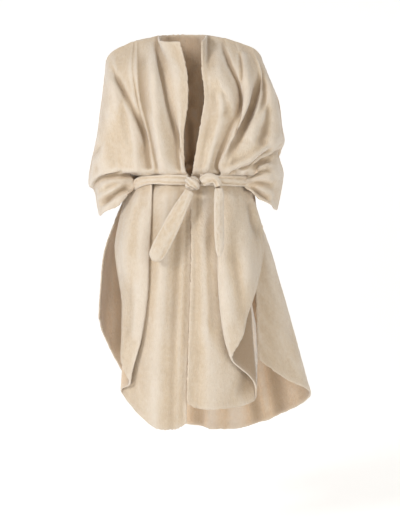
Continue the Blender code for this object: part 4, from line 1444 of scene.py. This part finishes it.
def floor_material():
    """The pale paper of the studio, with the faintest unevenness, lit a little from behind."""
    material = bpy.data.materials.new("studio_paper")
    nodes = Nodes(material)
    at = nodes.add("ShaderNodeTexCoord").outputs["Object"]
    shade = nodes.ramp(nodes.noise(at, 1.4, 2.0), 0.3, 0.7, 0.0, 0.03)
    pale = (*bpy.context.scene.cape_colours.floor, 1)
    colour = nodes.blend(shade, pale, (0.85, 0.85, 0.85, 1))
    nodes.feed(nodes.shader.inputs["Base Color"], colour)
    nodes.feed(nodes.shader.inputs["Roughness"], nodes.ramp(shade, 0.0, 0.03, 0.85, 0.95))
    nodes.shader.inputs["Emission Color"].default_value = pale
    nodes.shader.inputs["Emission Strength"].default_value = 0.30
    return material


# ---------------------------------------------------------------------------------------- stage


def add_backdrop():
    """A pale floor that curves up into a backdrop."""
    bottom = bpy.context.scene.cape_stage.floor_height
    profile = [(PAPER_FRONT, 0.0), (PAPER_BACK, 0.0)]
    for i in range(1, BEND_STEPS + 1):
        turn = math.pi / 2 * i / BEND_STEPS
        y, z = PAPER_BACK + BEND * math.sin(turn), BEND * (1.0 - math.cos(turn))
        profile.append((y, z))
    profile.append((PAPER_BACK + BEND, PAPER_TOP))
    vertices = [(x, y, bottom + z) for y, z in profile for x in (-PAPER_HALF, PAPER_HALF)]
    faces = [(2 * i, 2 * i + 1, 2 * i + 3, 2 * i + 2) for i in range(len(profile) - 1)]
    mesh = bpy.data.meshes.new("studio_paper")
    mesh.from_pydata(vertices, [], faces)
    mesh.shade_smooth()
    mesh.materials.append(floor_material())
    obj = bpy.data.objects.new("studio_paper", mesh)
    bpy.context.scene.collection.objects.link(obj)


def add_light(name, place, aim, size, power, colour):
    light = bpy.data.lights.new(name, "AREA")
    light.shape = "DISK"
    light.size = size
    light.energy = power
    light.color = colour
    obj = bpy.data.objects.new(name, light)
    obj.location = place
    obj.rotation_euler = (Vector(aim) - Vector(place)).to_track_quat("-Z", "Y").to_euler()
    bpy.context.scene.collection.objects.link(obj)


def add_camera():
    """The camera, at the height and distance of the photograph's."""
    stage = bpy.context.scene.cape_stage
    data = bpy.data.cameras.new("camera")
    data.sensor_fit = "VERTICAL"
    data.angle = stage.view_angle
    obj = bpy.data.objects.new("camera", data)
    aim = Vector(stage.aim)
    away = Vector((0.0, -math.cos(stage.elevation), math.sin(stage.elevation)))
    obj.location = aim + away * stage.distance
    obj.rotation_euler = (-away).to_track_quat("-Z", "Y").to_euler()
    bpy.context.scene.collection.objects.link(obj)
    bpy.context.scene.camera = obj


def add_sky():
    world = bpy.data.worlds.new("studio")
    world.use_nodes = True
    background = world.node_tree.nodes["Background"]
    background.inputs["Color"].default_value = SKY_COLOUR
    background.inputs["Strength"].default_value = bpy.context.scene.cape_stage.sky
    bpy.context.scene.world = world


# ------------------------------------------------------------------------------------ operators


class CAPE_OT_front_right(bpy.types.Operator):
    """Make the right front of the cape"""

    bl_idname = "cape.front_right"
    bl_label = "Right Front"

    def execute(self, context):
        tables = (RIGHT_TOP, RIGHT_ACROSS, RIGHT_LIFT, RIGHT_SLEEVE, RIGHT_FREE, RIGHT_HEM)
        add_front("cape_front_right", "front_right", tables, -1.0, RIGHT_CREASES)
        return {"FINISHED"}


class CAPE_OT_front_left(bpy.types.Operator):
    """Make the left front of the cape"""

    bl_idname = "cape.front_left"
    bl_label = "Left Front"

    def execute(self, context):
        tables = (LEFT_TOP, LEFT_ACROSS, LEFT_LIFT, LEFT_SLEEVE, LEFT_FREE, LEFT_HEM)
        add_front("cape_front_left", "front_left", tables, 1.0, LEFT_CREASES)
        return {"FINISHED"}


class CAPE_OT_back(bpy.types.Operator):
    """Make the back of the cape, with both of its rounded hem corners"""

    bl_idname = "cape.back"
    bl_label = "Back"

    def execute(self, context):
        add_back("cape_back")
        return {"FINISHED"}


class CAPE_OT_sash_band(bpy.types.Operator):
    """Make the bunched sash round the waist"""

    bl_idname = "cape.sash_band"
    bl_label = "Sash Band"

    def execute(self, context):
        add_sash_length(
            "sash_band", "belt_band", band_stations(), away_from_waist, BAND_PLEATS, False,
        )
        return {"FINISHED"}


class CAPE_OT_sash_knot(bpy.types.Operator):
    """Make the knot and the loop beside it"""

    bl_idname = "cape.sash_knot"
    bl_label = "Sash Knot and Loop"

    def execute(self, context):
        knot = place_piece("sash_knot", add_knot("sash_knot"), "belt_knot")
        add_sash_length(
            "sash_loop", "belt_loop", LOOP, to_the_front, LOOP_PLEATS, False,
        )
        return {"FINISHED"}


class CAPE_OT_sash_tails(bpy.types.Operator):
    """Make the two hanging ends of the sash"""

    bl_idname = "cape.sash_tails"
    bl_label = "Sash Tails"

    def execute(self, context):
        for side, stations in (("right", TAIL_RIGHT), ("left", TAIL_LEFT)):
            add_sash_length(
                "sash_tail_" + side, "belt_tail_" + side, stations, to_the_front, TAIL_PLEATS,
                True,
            )
        return {"FINISHED"}


class CAPE_OT_stage(bpy.types.Operator):
    """Set up the pale studio, its lights and the camera"""

    bl_idname = "cape.stage"
    bl_label = "Studio"

    def execute(self, context):
        stage = context.scene.cape_stage
        add_backdrop()
        add_camera()
        add_sky()
        aim = tuple(stage.aim)
        for name, (place, size, tint) in LIGHTS.items():
            add_light(name, place, aim, size, getattr(stage, name + "_power"), tint)
        context.scene.view_settings.view_transform = "Standard"
        return {"FINISHED"}


class CAPE_PT_panel(bpy.types.Panel):
    """Lists the pieces of the cape and their sizes"""

    bl_idname = "CAPE_PT_panel"
    bl_label = "Belted Cape"
    bl_space_type = "VIEW_3D"
    bl_region_type = "UI"
    bl_category = "Cape"

    def draw(self, context):
        layout = self.layout
        for key in ("cape_cloth", "cape_sash", "cape_colours", "cape_stage"):
            settings = getattr(context.scene, key)
            box = layout.box()
            for field in type(settings).__annotations__:
                box.prop(settings, field)
        for operator in OPERATORS:
            layout.operator(operator.bl_idname)


SETTINGS = {
    "cape_cloth": CapeCloth,
    "cape_sash": CapeSash,
    "cape_colours": CapeColours,
    "cape_stage": CapeStage,
}
OPERATORS = (
    CAPE_OT_front_right,
    CAPE_OT_front_left,
    CAPE_OT_back,
    CAPE_OT_sash_band,
    CAPE_OT_sash_knot,
    CAPE_OT_sash_tails,
    CAPE_OT_stage,
)


def register():
    for cls in (*SETTINGS.values(), *OPERATORS, CAPE_PT_panel):
        bpy.utils.register_class(cls)
    for key, cls in SETTINGS.items():
        setattr(bpy.types.Scene, key, PointerProperty(type=cls))


def unregister():
    for key in SETTINGS:
        delattr(bpy.types.Scene, key)
    for cls in (CAPE_PT_panel, *OPERATORS, *SETTINGS.values()):
        bpy.utils.unregister_class(cls)


def main():
    register()
    bpy.ops.cape.front_right()
    bpy.ops.cape.front_left()
    bpy.ops.cape.back()
    bpy.ops.cape.sash_band()
    bpy.ops.cape.sash_knot()
    bpy.ops.cape.sash_tails()
    bpy.ops.cape.stage()


if __name__ == "__main__":
    main()
